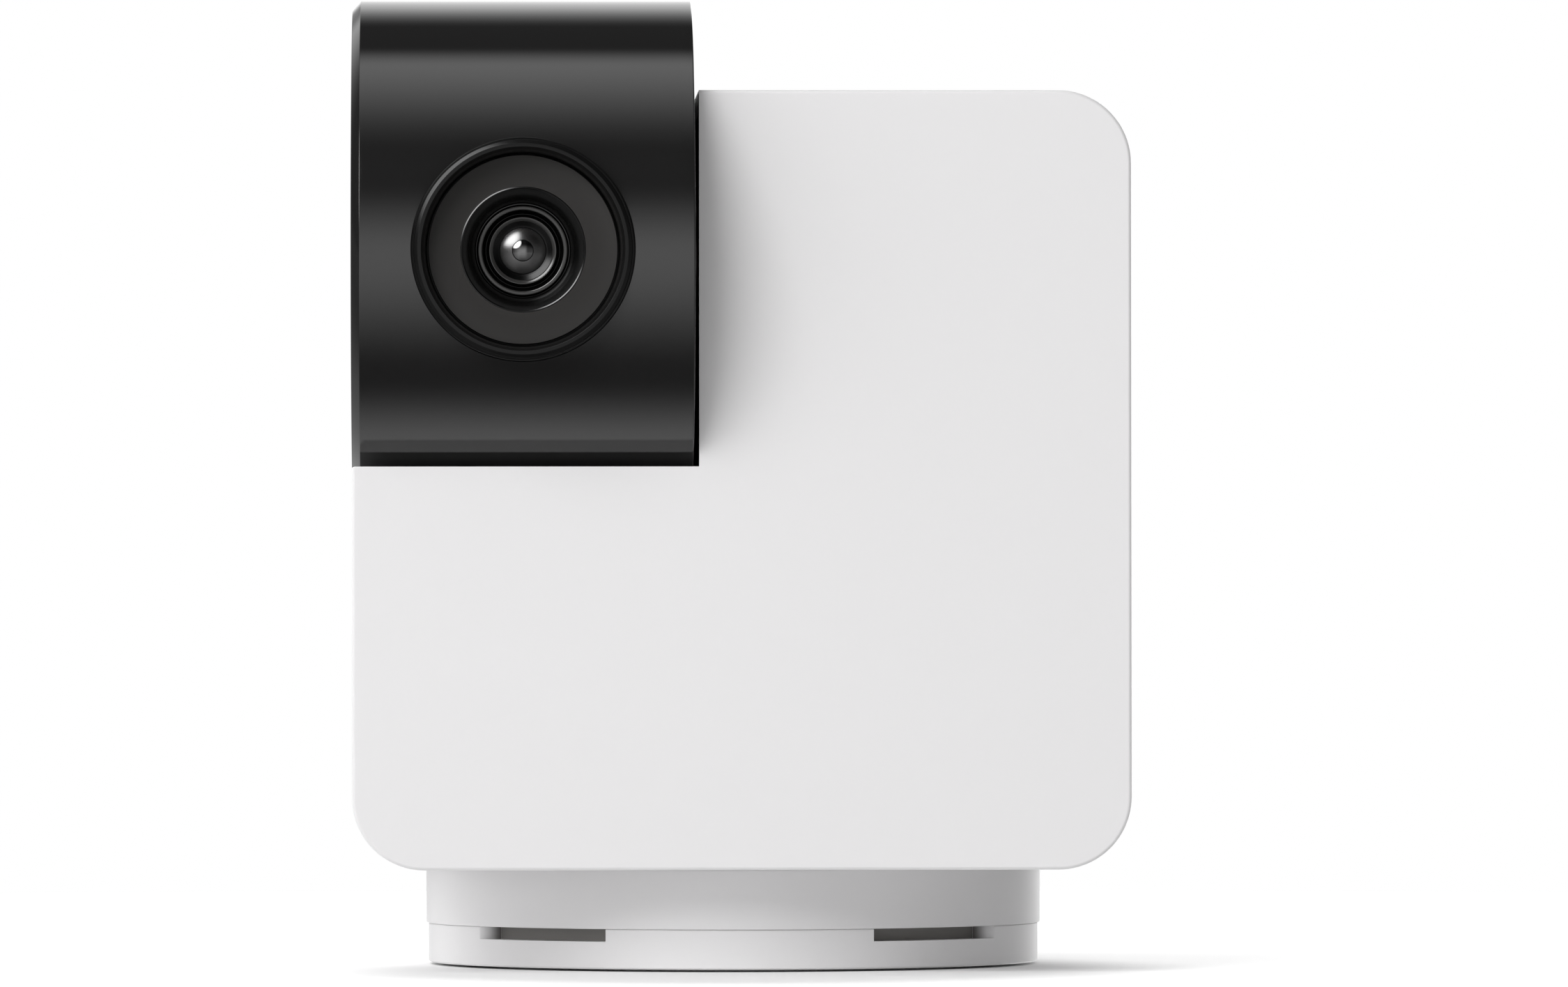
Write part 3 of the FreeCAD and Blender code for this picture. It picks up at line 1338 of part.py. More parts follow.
def head_shells():
    """The barrel and its two end caps. The right one carries the hollow trunnion."""
    left, right = f"({LEFT} + head_cap)", f"({HEAD_RIGHT} - head_cap)"
    body = turned(
        "X",
        [(left, HEAD_BORE), (right, HEAD_BORE), (right, "head_radius"), (left, "head_radius")],
        y=HEAD_Y,
        z=HEAD_Z,
    )
    boss_right = f"({right} - spigot_length - fit_gap)"
    boss_left = f"({boss_right} - cap_boss_length)"
    pad(body, "YZ", boss_left, boss_right, circles(CAP_BOSSES, "cap_boss_radius"))
    wall_front = f"{HEAD_Y} - sqrt(pow({HEAD_BORE}; 2) - pow(sensor_post_rise; 2))"
    post_front = f"{wall_front} - sensor_post_root"
    pad(body, "XZ", post_front, SENSOR_FRONT, circles(SENSOR_POSTS, "sensor_post_radius"))
    hole_front = f"{SENSOR_FRONT} - small_screw_grip - blind_gap"
    pocket(body, "XZ", hole_front, SENSOR_FRONT, circles(SENSOR_POSTS, "small_screw_radius"))
    seat = circles([(LENS_X, HEAD_Z)], "lens_ring_radius + running_gap")
    pocket(body, "XZ", f"{LENS_FRONT} - cut_margin", f"{HEAD_Y} - sensor_post_rise", seat)
    pocket(body, "YZ", f"{boss_left} + cap_boss_floor", boss_right, circles(CAP_BOSSES, "screw_radius"))
    keep("head_barrel", body)
    spigot = f"({HEAD_BORE} - running_gap)"
    inner = f"({spigot} - spigot_wall)"
    corners = [
        (LEFT, "0"),
        (LEFT, "head_radius - head_bevel_depth"),
        (f"{LEFT} + head_bevel_width", "head_radius"),
        (left, "head_radius"),
        (left, spigot),
        (f"{left} + spigot_length", spigot),
        (f"{left} + spigot_length", inner),
        (left, inner),
        (left, "0"),
    ]
    keep("head_left_cap", turned("X", corners, y=HEAD_Y, z=HEAD_Z))
    corners = [
        (f"{right} - spigot_length", inner),
        (right, inner),
        (right, "trunnion_bore"),
        (TRUNNION_RIGHT, "trunnion_bore"),
        (TRUNNION_RIGHT, "trunnion_radius"),
        (CLIP_RIGHT, "trunnion_radius"),
        (CLIP_RIGHT, "trunnion_radius - clip_grip"),
        (TILT_GEAR_RIGHT, "trunnion_radius - clip_grip"),
        (TILT_GEAR_RIGHT, "trunnion_radius"),
        (HEAD_RIGHT, "trunnion_radius"),
        (HEAD_RIGHT, "head_radius"),
        (right, "head_radius"),
        (right, spigot),
        (f"{right} - spigot_length", spigot),
    ]
    cap = turned("X", corners, y=HEAD_Y, z=HEAD_Z)
    sunk = f"({HEAD_RIGHT} - screw_head_height / 2)"
    pocket(cap, "YZ", right, HEAD_RIGHT, circles(CAP_BOSSES, "screw_radius"))
    pocket(cap, "YZ", sunk, HEAD_RIGHT, circles(CAP_BOSSES, "screw_head_radius"))
    keep("head_right_cap", cap)
    shank_left = f"({boss_left} + cap_boss_floor + blind_gap)"
    screws = []
    for y, z in CAP_BOSSES:
        head = rod("X", sunk, y, z, "screw_head_radius", "screw_head_height / 2")
        shank = rod("X", shank_left, y, z, "screw_radius", f"{sunk} - {shank_left}")
        screws.append(fuse(head, shank))
    keep("head_cap_screws", group(*screws))


def lens_parts():
    """The ring, the bezel, the lens and the sensor behind it, on the axis that looks forward."""
    where = {"x": LENS_X, "z": HEAD_Z}
    inner = "(lens_ring_radius - lens_ring_width)"
    wide = "(lens_ring_radius + lens_flange_width)"
    throat = "(lens_barrel_radius + pan_gap)"
    flange_front = f"({HEAD_Y} - sqrt(pow({HEAD_BORE}; 2) - pow({wide}; 2)) + fit_gap)"
    flange_rear = f"({flange_front} + lens_flange_thickness)"
    corners = [
        (inner, f"{flange_front} - lens_ring_lap"),
        (inner, LENS_FRONT),
        ("lens_ring_radius", LENS_FRONT),
        ("lens_ring_radius", flange_front),
        (wide, flange_front),
        (wide, flange_rear),
        (throat, flange_rear),
        (throat, f"{flange_front} - lens_ring_lap"),
    ]
    ring = turned("Y", corners, **where)
    round_edges(ring, ring.Tip, "Y", LENS_FRONT, "lens_ring_round")
    keep("lens_ring", ring)
    bezel_rear = f"({BEZEL_FRONT} + bezel_thickness)"
    cone_rear = f"({bezel_rear} + bezel_cone_depth)"
    corners = [
        ("bezel_opening", BEZEL_FRONT),
        (f"{inner} - fit_gap", BEZEL_FRONT),
        (f"{inner} - fit_gap", bezel_rear),
        ("bezel_opening + bezel_lip", bezel_rear),
        ("bezel_opening - bezel_taper + bezel_lip", cone_rear),
        ("bezel_opening - bezel_taper", cone_rear),
    ]
    keep("lens_bezel", turned("Y", corners, **where))
    barrel_rear = f"({BARREL_FRONT} + lens_barrel_length)"
    shelf = f"({BARREL_FRONT} + lens_shelf_depth)"
    seat = f"({shelf} + lens_seat_depth)"
    cone_end = f"({barrel_rear} - rear_lens_thickness - lens_air)"
    inner_ridge, outer_ridge = "lens_ridge_inner - lens_ridge_width", "lens_ridge_outer - lens_ridge_width"
    corners = [
        ("lens_barrel_radius", BARREL_FRONT),
        ("lens_barrel_radius", barrel_rear),
        ("rear_lens_radius", barrel_rear),
        ("rear_lens_radius", cone_end),
        ("lens_seat_radius - lens_seat_lip", f"{cone_end} - lens_cone_depth"),
        ("lens_seat_radius - lens_seat_lip", seat),
        ("lens_seat_radius", seat),
        ("lens_seat_radius", shelf),
        (inner_ridge, shelf),
        (inner_ridge, f"{shelf} - lens_ridge_height"),
        ("lens_ridge_inner", f"{shelf} - lens_ridge_height"),
        ("lens_ridge_inner", shelf),
        (outer_ridge, shelf),
        (outer_ridge, f"{BARREL_FRONT} - lens_ridge_proud"),
        ("lens_ridge_outer", f"{BARREL_FRONT} - lens_ridge_proud"),
        ("lens_ridge_outer", BARREL_FRONT),
    ]
    keep("lens_barrel", turned("Y", corners, **where))
    dome = doc.addObject("Part::Sphere", "dome")
    radius = "((pow(lens_seat_radius; 2) + pow(lens_dome_height; 2)) / (2 * lens_dome_height))"
    bind(dome, "Radius", radius)
    place(dome, LENS_X, f"{shelf} - lens_dome_height + {radius}", HEAD_Z)
    stem_front = f"({shelf} - lens_dome_height - cut_margin)"
    stem = rod("Y", LENS_X, stem_front, HEAD_Z, "lens_seat_radius", f"{seat} - {stem_front}")
    glass = doc.addObject("Part::Common", "glass")
    glass.Base = dome
    glass.Tool = stem
    keep("front_lens", glass)
    rear = f"{barrel_rear} - rear_lens_thickness"
    keep("rear_lens", rod("Y", LENS_X, rear, HEAD_Z, "rear_lens_radius", "rear_lens_thickness"))
    holder_front = f"({barrel_rear} - lens_barrel_length / 2)"
    width = "lens_holder_width"
    holder = centred_block(LENS_X, width, holder_front, SENSOR_FRONT, HEAD_Z, width)
    bore = rod("Y", LENS_X, holder_front, HEAD_Z, "lens_barrel_radius", f"{barrel_rear} - {holder_front}")
    hollow = "lens_holder_width - 2 * lens_holder_wall"
    room = centred_block(LENS_X, f"({hollow})", barrel_rear, SENSOR_FRONT, HEAD_Z, f"({hollow})")
    keep("lens_holder", cut(holder, bore, room))
    face = f"{SENSOR_FRONT} - sensor_thickness"
    keep("image_sensor", centred_block(LENS_X, "sensor_width", face, SENSOR_FRONT, HEAD_Z, "sensor_width"))
    faces = (SENSOR_FRONT, SENSOR_REAR)
    board = centred_block(LENS_X, "sensor_board_width", *faces, HEAD_Z, "sensor_board_height")
    holes = [rod("Y", x, SENSOR_FRONT, z, "small_screw_radius", "board_thickness") for x, z in SENSOR_POSTS]
    keep("sensor_board", cut(board, *holes))
    length = "board_thickness + small_screw_grip"
    screws = [screw("Y", x, SENSOR_REAR, z, length, -1, small=True) for x, z in SENSOR_POSTS]
    keep("sensor_screws", group(*screws))
    bend = "head_wire_bend"
    bend_x, bend_y = f"({LENS_X} + {bend})", f"({HEAD_Y} - {bend})"
    wires = fuse(
        rod("Y", LENS_X, SENSOR_REAR, HEAD_Z, "wire_radius", f"{bend_y} - {SENSOR_REAR}"),
        quarter_bend(bend_x, bend_y, HEAD_Z, bend, "wire_radius", (-1, 0, 0), (0, 1, 0)),
        rod("X", bend_x, HEAD_Y, HEAD_Z, "wire_radius", f"{TILT_PLATE_RIGHT} - pan_gap - {bend_x}"),
    )
    keep("head_harness", wires)


def check_features():
    """Stops where a feature failed, a cut removed nothing or a sub-part isn't sound."""
    for item in doc.Objects:
        if {"Invalid", "Error"} & set(item.State):
            raise RuntimeError(f"{item.Label} ({item.TypeId}) failed: {item.State}")
        if item.TypeId == "PartDesign::Pocket" and item.BaseFeature:
            if item.Shape.Volume > item.BaseFeature.Shape.Volume - SMALLEST_CUT:
                raise RuntimeError(f"{item.Name} of {item.getParentGeoFeatureGroup().Label} removes nothing")
    for item in PARTS:
        if item.Shape.isNull() or not item.Shape.isValid():
            raise RuntimeError(f"{item.Label} has no sound shape")


base_housing()
base_cover()
base_small_parts()
power_inlet()
pan_drive()
pan_motor_group()
tilt_motor_group()
drive_screws()
tilt_drive()
front_housing()
rear_cover()
head_cradle()
bushes()
electronics()
wiring()
speaker_and_button()
head_shells()
lens_parts()
doc.recompute()
check_features()
os.makedirs("parts", exist_ok=True)
for item in PARTS:
    item.Shape.exportStep(f"parts/{item.Label}.step")
print(len(PARTS), "sub-parts")
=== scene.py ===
"""The looks of a pet camera: a white cube on a low round base, with a black head that tilts in one corner.

Sizes are in millimetres in the camera's own frame: the origin is on the pan axis on the floor, +Z points up
and the front faces -Y. Meshes are made in metres.
"""

import json
import logging
import math
from dataclasses import dataclass
from enum import Enum
from typing import Any, Callable, Iterable, Optional, Sequence

import bmesh
import bpy
from mathutils import Matrix, Vector

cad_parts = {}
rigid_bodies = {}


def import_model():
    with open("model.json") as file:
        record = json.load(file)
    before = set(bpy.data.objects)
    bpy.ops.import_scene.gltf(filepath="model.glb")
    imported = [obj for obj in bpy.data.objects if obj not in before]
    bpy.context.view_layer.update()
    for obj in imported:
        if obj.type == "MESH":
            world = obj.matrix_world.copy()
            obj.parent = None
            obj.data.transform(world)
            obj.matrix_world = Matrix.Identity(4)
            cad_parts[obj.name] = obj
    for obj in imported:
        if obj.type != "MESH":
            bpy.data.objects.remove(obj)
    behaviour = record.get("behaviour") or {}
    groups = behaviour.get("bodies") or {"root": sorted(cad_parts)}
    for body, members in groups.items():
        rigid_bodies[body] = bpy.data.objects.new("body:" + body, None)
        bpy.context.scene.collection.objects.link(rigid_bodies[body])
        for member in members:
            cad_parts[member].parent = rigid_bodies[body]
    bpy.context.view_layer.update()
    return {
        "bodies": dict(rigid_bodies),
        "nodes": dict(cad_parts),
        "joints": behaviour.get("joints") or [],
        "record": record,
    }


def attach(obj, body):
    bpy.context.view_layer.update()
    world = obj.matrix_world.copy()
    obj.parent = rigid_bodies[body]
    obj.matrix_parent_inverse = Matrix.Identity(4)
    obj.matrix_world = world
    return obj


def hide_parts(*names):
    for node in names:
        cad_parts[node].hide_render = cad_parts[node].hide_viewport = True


MM = 0.001
MERGE_DISTANCE = 1e-8
SMOOTH_ANGLE = math.radians(32.0)
FACE_WEIGHT = 100
LOG = logging.getLogger("pet_camera")

Piece = bpy.types.Object
Socket = bpy.types.NodeSocket
Spot = tuple[float, float]  # a point in a plane
Span = tuple[float, float]  # a start and an end
Corner = tuple[float, float, float]  # a spot with the radius of its rounding
Colour = tuple[float, float, float]
Place = tuple[float, float, float]  # a point in space
Loop = tuple[Sequence[Spot], float]  # an outline with its level
Fade = tuple[float, float, float, float]  # a ramp's start and end with its two values there

TILT_AXIS: Spot = (-19.0, 60.0)
LENS_AXIS: Place = (-18.25, 0.0, 60.0)


class Axis(Enum):
    """The direction that a turned or pulled piece is made along."""

    X = "X"
    Y = "Y"
    Z = "Z"

    def point(self, across: float, up: float, along: float) -> Vector:
        """A point from its two coordinates across the axis and the one along it."""
        order = {"X": (along, across, up), "Y": (across, along, up), "Z": (across, up, along)}
        return Vector(order[self.value])


class Way(Enum):
    """What a boolean does with its tools."""

    CUT = "DIFFERENCE"
    JOIN = "UNION"


class Part(Enum):
    """The bodies that pieces ride on."""

    BASE = "base"
    BODY = "camera_body"
    KEY = "reset_key"
    HEAD = "tilt_head"


class Slot(Enum):
    """The record's material slots."""

    WHITE_SHELL = "white_shell"
    BLACK_GLOSS = "black_gloss"
    BLACK_SATIN = "black_satin"
    DARK_ANNULUS = "dark_annulus"
    LENS_GLASS = "lens_glass"
    FOOT_RUBBER = "foot_rubber"
    BRASS_INSERT = "brass_insert"
    STEEL_SCREW = "steel_screw"
    STEEL_SHEET = "steel_sheet"
    ALUMINIUM_PLATE = "aluminium_plate"
    BOARD_GREEN = "board_green"
    CHIP_BLACK = "chip_black"
    CONNECTOR_CREAM = "connector_cream"
    WIRE_SLEEVE = "wire_sleeve"
    ACETAL_WHITE = "acetal_white"
    SOFT_BLACK = "soft_black"
    SPEAKER_BLACK = "speaker_black"
    ANTENNA_FILM = "antenna_film"


class Pattern(Enum):
    """What lies over a finish's plain colour."""

    MOULDED = "moulded_surface"
    BRUSHED = "brushed_surface"
    # Painted shade: darker deeper in a slot.
    SUNK = "sunk_surface"
    TRACES = "etched_traces"
    BRAID = "braided_sleeve"
    # Painted light: lighter towards the annulus's rim.
    DISHED = "dished_lacquer"


# Meshes


def round_profile(corners: Sequence[Corner], closed: bool = True, steps: int = 6) -> list[Spot]:
    """Rounds the corners of an outline.

    Args:
        corners: Each corner's two coordinates and the radius of its rounding.
        closed: Whether the last corner joins the first.
        steps: How many pieces each rounding is divided into.

    Returns:
        The outline's points.
    """
    outline: list[Spot] = []
    for index, (x, y, radius) in enumerate(corners):
        if radius == 0 or (not closed and index in (0, len(corners) - 1)):
            outline.append((x, y))
            continue
        here = Vector((x, y))
        back = (Vector(corners[index - 1][:2]) - here).normalized()
        ahead = (Vector(corners[(index + 1) % len(corners)][:2]) - here).normalized()
        half = math.acos(max(-1.0, min(1.0, back.dot(ahead)))) / 2
        centre = here + (back + ahead).normalized() * radius / math.sin(half)
        start = here + back * radius / math.tan(half) - centre
        end = here + ahead * radius / math.tan(half) - centre
        first = math.atan2(start.y, start.x)
        sweep = (math.atan2(end.y, end.x) - first + math.pi) % math.tau - math.pi
        for step in range(steps + 1):
            angle = first + sweep * step / steps
            outline.append((centre.x + radius * math.cos(angle), centre.y + radius * math.sin(angle)))
    return outline


def rounded_outline(width: float, height: float, radius: float, centre: Spot, steps: int) -> list[Spot]:
    """The outline of a rectangle with round corners.

    Args:
        width: Its size across.
        height: Its size upwards.
        radius: The radius of its corners.
        centre: Its middle.
        steps: How many pieces each corner is divided into.

    Returns:
        The outline's points.
    """
    x, y = width / 2, height / 2
    corners = [(-x, -y, radius), (x, -y, radius), (x, y, radius), (-x, y, radius)]
    return [(a + centre[0], b + centre[1]) for a, b in round_profile(corners, steps=steps)]


def new_piece(name: str, points: Iterable[Vector], faces: Iterable[Sequence[int]]) -> Piece:
    """Makes an object with its doubles merged and its faces pointing outwards.

    Args:
        name: The piece's name.
        points: Its points in millimetres.
        faces: Each face's points, by their numbers.

    Returns:
        The piece.
    """
    mesh = bpy.data.meshes.new(name)
    mesh.from_pydata([point * MM for point in points], [], list(faces))
    shell = bmesh.new()
    shell.from_mesh(mesh)
    bmesh.ops.remove_doubles(shell, verts=shell.verts, dist=MERGE_DISTANCE)
    bmesh.ops.recalc_face_normals(shell, faces=shell.faces)
    shell.to_mesh(mesh)
    shell.free()
    piece = bpy.data.objects.new(name, mesh)
    bpy.context.scene.collection.objects.link(piece)
    return piece


def turn(
    name: str,
    profile: Sequence[Spot],
    axis: Axis = Axis.Z,
    centre: Place = (0, 0, 0),
    segments: int = 192,
    closed: bool = True,
) -> Piece:
    """Turns a profile about an axis.

    Args:
        name: The piece's name.
        profile: The profile's points, each a radius and a place along the axis.
        axis: The direction of the axis.
        centre: A point of the axis.
        segments: How many steps go round.
        closed: Whether the last point joins the first.

    Returns:
        The turned piece.
    """
    points: list[Vector] = []
    rows: list[list[int]] = []
    for radius, along in profile:
        count = segments if radius > 0 else 1
        rows.append([len(points) + step for step in range(count)])
        for step in range(count):
            angle = math.tau * step / segments
            point = axis.point(radius * math.cos(angle), radius * math.sin(angle), along)
            points.append(point + Vector(centre))
    faces: list[Sequence[int]] = []
    for low, high in zip(rows, rows[1:] + rows[:1] if closed else rows[1:]):
        if len(low) == 1 and len(high) == 1:
            continue
        for step in range(segments):
            after = (step + 1) % segments
            around = [low[step % len(low)], low[after % len(low)]]
            around += [high[after % len(high)], high[step % len(high)]]
            faces.append(list(dict.fromkeys(around)))
    return new_piece(name, points, faces)


def loft(name: str, axis: Axis, loops: Sequence[Loop], ring: bool = False) -> Piece:
    """Joins outlines with equal counts of points, each at its own level of an axis.

    Args:
        name: The piece's name.
        axis: The direction that the outlines are stacked along.
        loops: The outlines with their levels.
        ring: Whether the last outline joins the first, instead of both being filled.

    Returns:
        The closed piece.
    """
    count = len(loops[0][0])
    points = [axis.point(a, b, level) for outline, level in loops for a, b in outline]
    faces: list[Sequence[int]] = []
    last = len(loops) if ring else len(loops) - 1
    for row in range(last):
        low, high = row * count, (row + 1) % len(loops) * count
        for step in range(count):
            after = (step + 1) % count
            faces.append([low + step, low + after, high + after, high + step])
    if not ring:
        faces.append(range(count))
        faces.append(range((len(loops) - 1) * count, len(loops) * count))
    return new_piece(name, points, faces)


def rod(axis: Axis, centre: Place, radius: float, start: float, end: float, segments: int = 64) -> Piece:
    """A plain round bar between two levels, to cut or to add with."""
    profile = [(0, start), (radius, start), (radius, end), (0, end)]
    return turn("rod", profile, axis, centre, segments)


def settle(piece: Piece) -> Piece:
    """Makes a piece's modified shape its plain mesh.

    Args:
        piece: The piece with its modifiers.

    Returns:
        The same piece without them.
    """
    bpy.context.view_layer.update()
    depsgraph = bpy.context.evaluated_depsgraph_get()
    mesh = bpy.data.meshes.new_from_object(piece.evaluated_get(depsgraph))
    mesh.name = piece.name
    piece.modifiers.clear()
    piece.data = mesh
    return piece


def carve(piece: Piece, tools: Sequence[Piece], way: Way = Way.CUT) -> Piece:
    """Cuts tools from a piece, or joins them to it, and removes the tools.

    Args:
        piece: The piece.
        tools: The shapes that change it.
        way: Whether they are cut from it or joined to it.

    Returns:
        The same piece, changed.
    """
    for tool in tools:
        boolean = piece.modifiers.new("carve", "BOOLEAN")
        boolean.object = tool
        boolean.operation = way.value
        boolean.solver = "EXACT"
    settle(piece)
    for tool in tools:
        bpy.data.objects.remove(tool)
    return piece


def smooth(piece: Piece) -> None:
    """Shades a piece smooth, with its flat faces and its sharp edges kept.

    Args:
        piece: The piece.
    """
    piece.data.polygons.foreach_set("use_smooth", [True] * len(piece.data.polygons))
    piece.data.set_sharp_from_angle(angle=SMOOTH_ANGLE)
    weighting = piece.modifiers.new("weighting", "WEIGHTED_NORMAL")
    weighting.keep_sharp = True
    weighting.weight = FACE_WEIGHT
    settle(piece)


# Node trees


class Tree:
    """A node tree in the making.

    Attributes:
        tree: The tree itself.
        inlet: What a group is given, by name.
        outlet: The node that a group's results go into.
    """

    # The sockets of a Mix node for its factor and two numbers, and for its factor and two colours.
    NUMBER_SOCKETS = (0, 2, 3)
    COLOUR_SOCKETS = (0, 6, 7)
    COLOUR_RESULT = 2

    def __init__(self, tree: bpy.types.NodeTree) -> None:
        """Takes an empty tree.

        Args:
            tree: The tree.
        """
        self.tree = tree
        self.inlet: Any = None
        self.outlet: Any = None

    @classmethod
    def group(
        cls, name: str, kind: str, inputs: dict[str, tuple[str, Any]], outputs: dict[str, str]
    ) -> "Tree":
        """Makes a group with named inputs and outputs.

        Args:
            name: The group's name.
            kind: The type of tree.
            inputs: Each input's socket type and default.
            outputs: Each output's socket type.

        Returns:
            The group's tree.
        """
        tree = bpy.data.node_groups.new(name, kind)
        for label, (socket, default) in inputs.items():
            item = tree.interface.new_socket(label, in_out="INPUT", socket_type=socket)
            if default is not None:
                item.default_value = default
        for label, socket in outputs.items():
            tree.interface.new_socket(label, in_out="OUTPUT", socket_type=socket)
        made = cls(tree)
        made.inlet = made.add("NodeGroupInput").outputs
        made.outlet = made.add("NodeGroupOutput")
        return made

    def add(self, kind: str, inputs: Optional[dict[Any, Any]] = None, **settings: Any) -> bpy.types.Node:
        """Adds a node.

        Args:
            kind: The type of node.
            inputs: Values or links for its inputs.
            settings: Its settings.

        Returns:
            The node.
        """
        node = self.tree.nodes.new(kind)
        for name, value in settings.items():
            setattr(node, name, value)
        for key, value in (inputs or {}).items():
            self.feed(node.inputs[key], value)
        return node

    def feed(self, socket: Socket, value: Any) -> None:
        """Gives an input a value, or links it to an output or to several.

        Args:
            socket: The input.
            value: A plain value, an output, or a list of outputs.
        """
        if isinstance(value, list):
            for item in value:
                self.tree.links.new(item, socket)
        elif isinstance(value, Socket):
            self.tree.links.new(value, socket)
        else:
            socket.default_value = value

    def maths(self, operation: str, *values: Any) -> Socket:
        """The result of a number operation."""
        return self.add("ShaderNodeMath", dict(enumerate(values)), operation=operation).outputs[0]

    def vectors(self, operation: str, *values: Any) -> Socket:
        """The result of a vector operation, or its length or product.

        Args:
            operation: The operation.
            values: What it works on.

        Returns:
            The result, a number where the operation gives one.
        """
        node = self.add("ShaderNodeVectorMath", dict(enumerate(values)), operation=operation)
        single = operation in ("LENGTH", "DOT_PRODUCT")
        return node.outputs["Value" if single else "Vector"]

    def triple(self, *values: Any) -> Socket:
        """A vector of three numbers."""
        return self.add("ShaderNodeCombineXYZ", dict(enumerate(values))).outputs[0]

    def parts(self, vector: Socket) -> tuple[Socket, ...]:
        """The three numbers of a vector."""
        return tuple(self.add("ShaderNodeSeparateXYZ", {0: vector}).outputs)

    def ramp(self, value: Any, start: float, end: float, low: float = 0.0, high: float = 1.0) -> Socket:
        """A value carried smoothly from one range to another."""
        keys = {"Value": value, "From Min": start, "From Max": end, "To Min": low, "To Max": high}
        return self.add("ShaderNodeMapRange", keys, interpolation_type="SMOOTHSTEP").outputs["Result"]

    def blend(self, share: Any, first: Any, second: Any) -> Socket:
        """A number between two numbers."""
        keys = dict(zip(self.NUMBER_SOCKETS, (share, first, second)))
        return self.add("ShaderNodeMix", keys).outputs[0]

    def mix(self, share: Any, first: Any, second: Any) -> Socket:
        """A colour between two colours."""
        keys = dict(zip(self.COLOUR_SOCKETS, (share, first, second)))
        return self.add("ShaderNodeMix", keys, data_type="RGBA").outputs[self.COLOUR_RESULT]


def run_tree(name: str, tree: Tree, values: dict[str, Any], start: Optional[Piece] = None) -> Piece:
    """Runs a geometry tree and gives its result as a plain piece.

    Args:
        name: The piece's name.
        tree: The tree.
        values: The tree's named inputs.
        start: The piece that the tree works on, if it has one.

    Returns:
        The piece, with no modifier left.
    """
    piece = start or new_piece(name, [], [])
    piece.name = name
    modifier = piece.modifiers.new("rule", "NODES")
    modifier.node_group = tree.tree
    for label, value in values.items():
        modifier[tree.tree.interface.items_tree[label].identifier] = value
    return settle(piece)


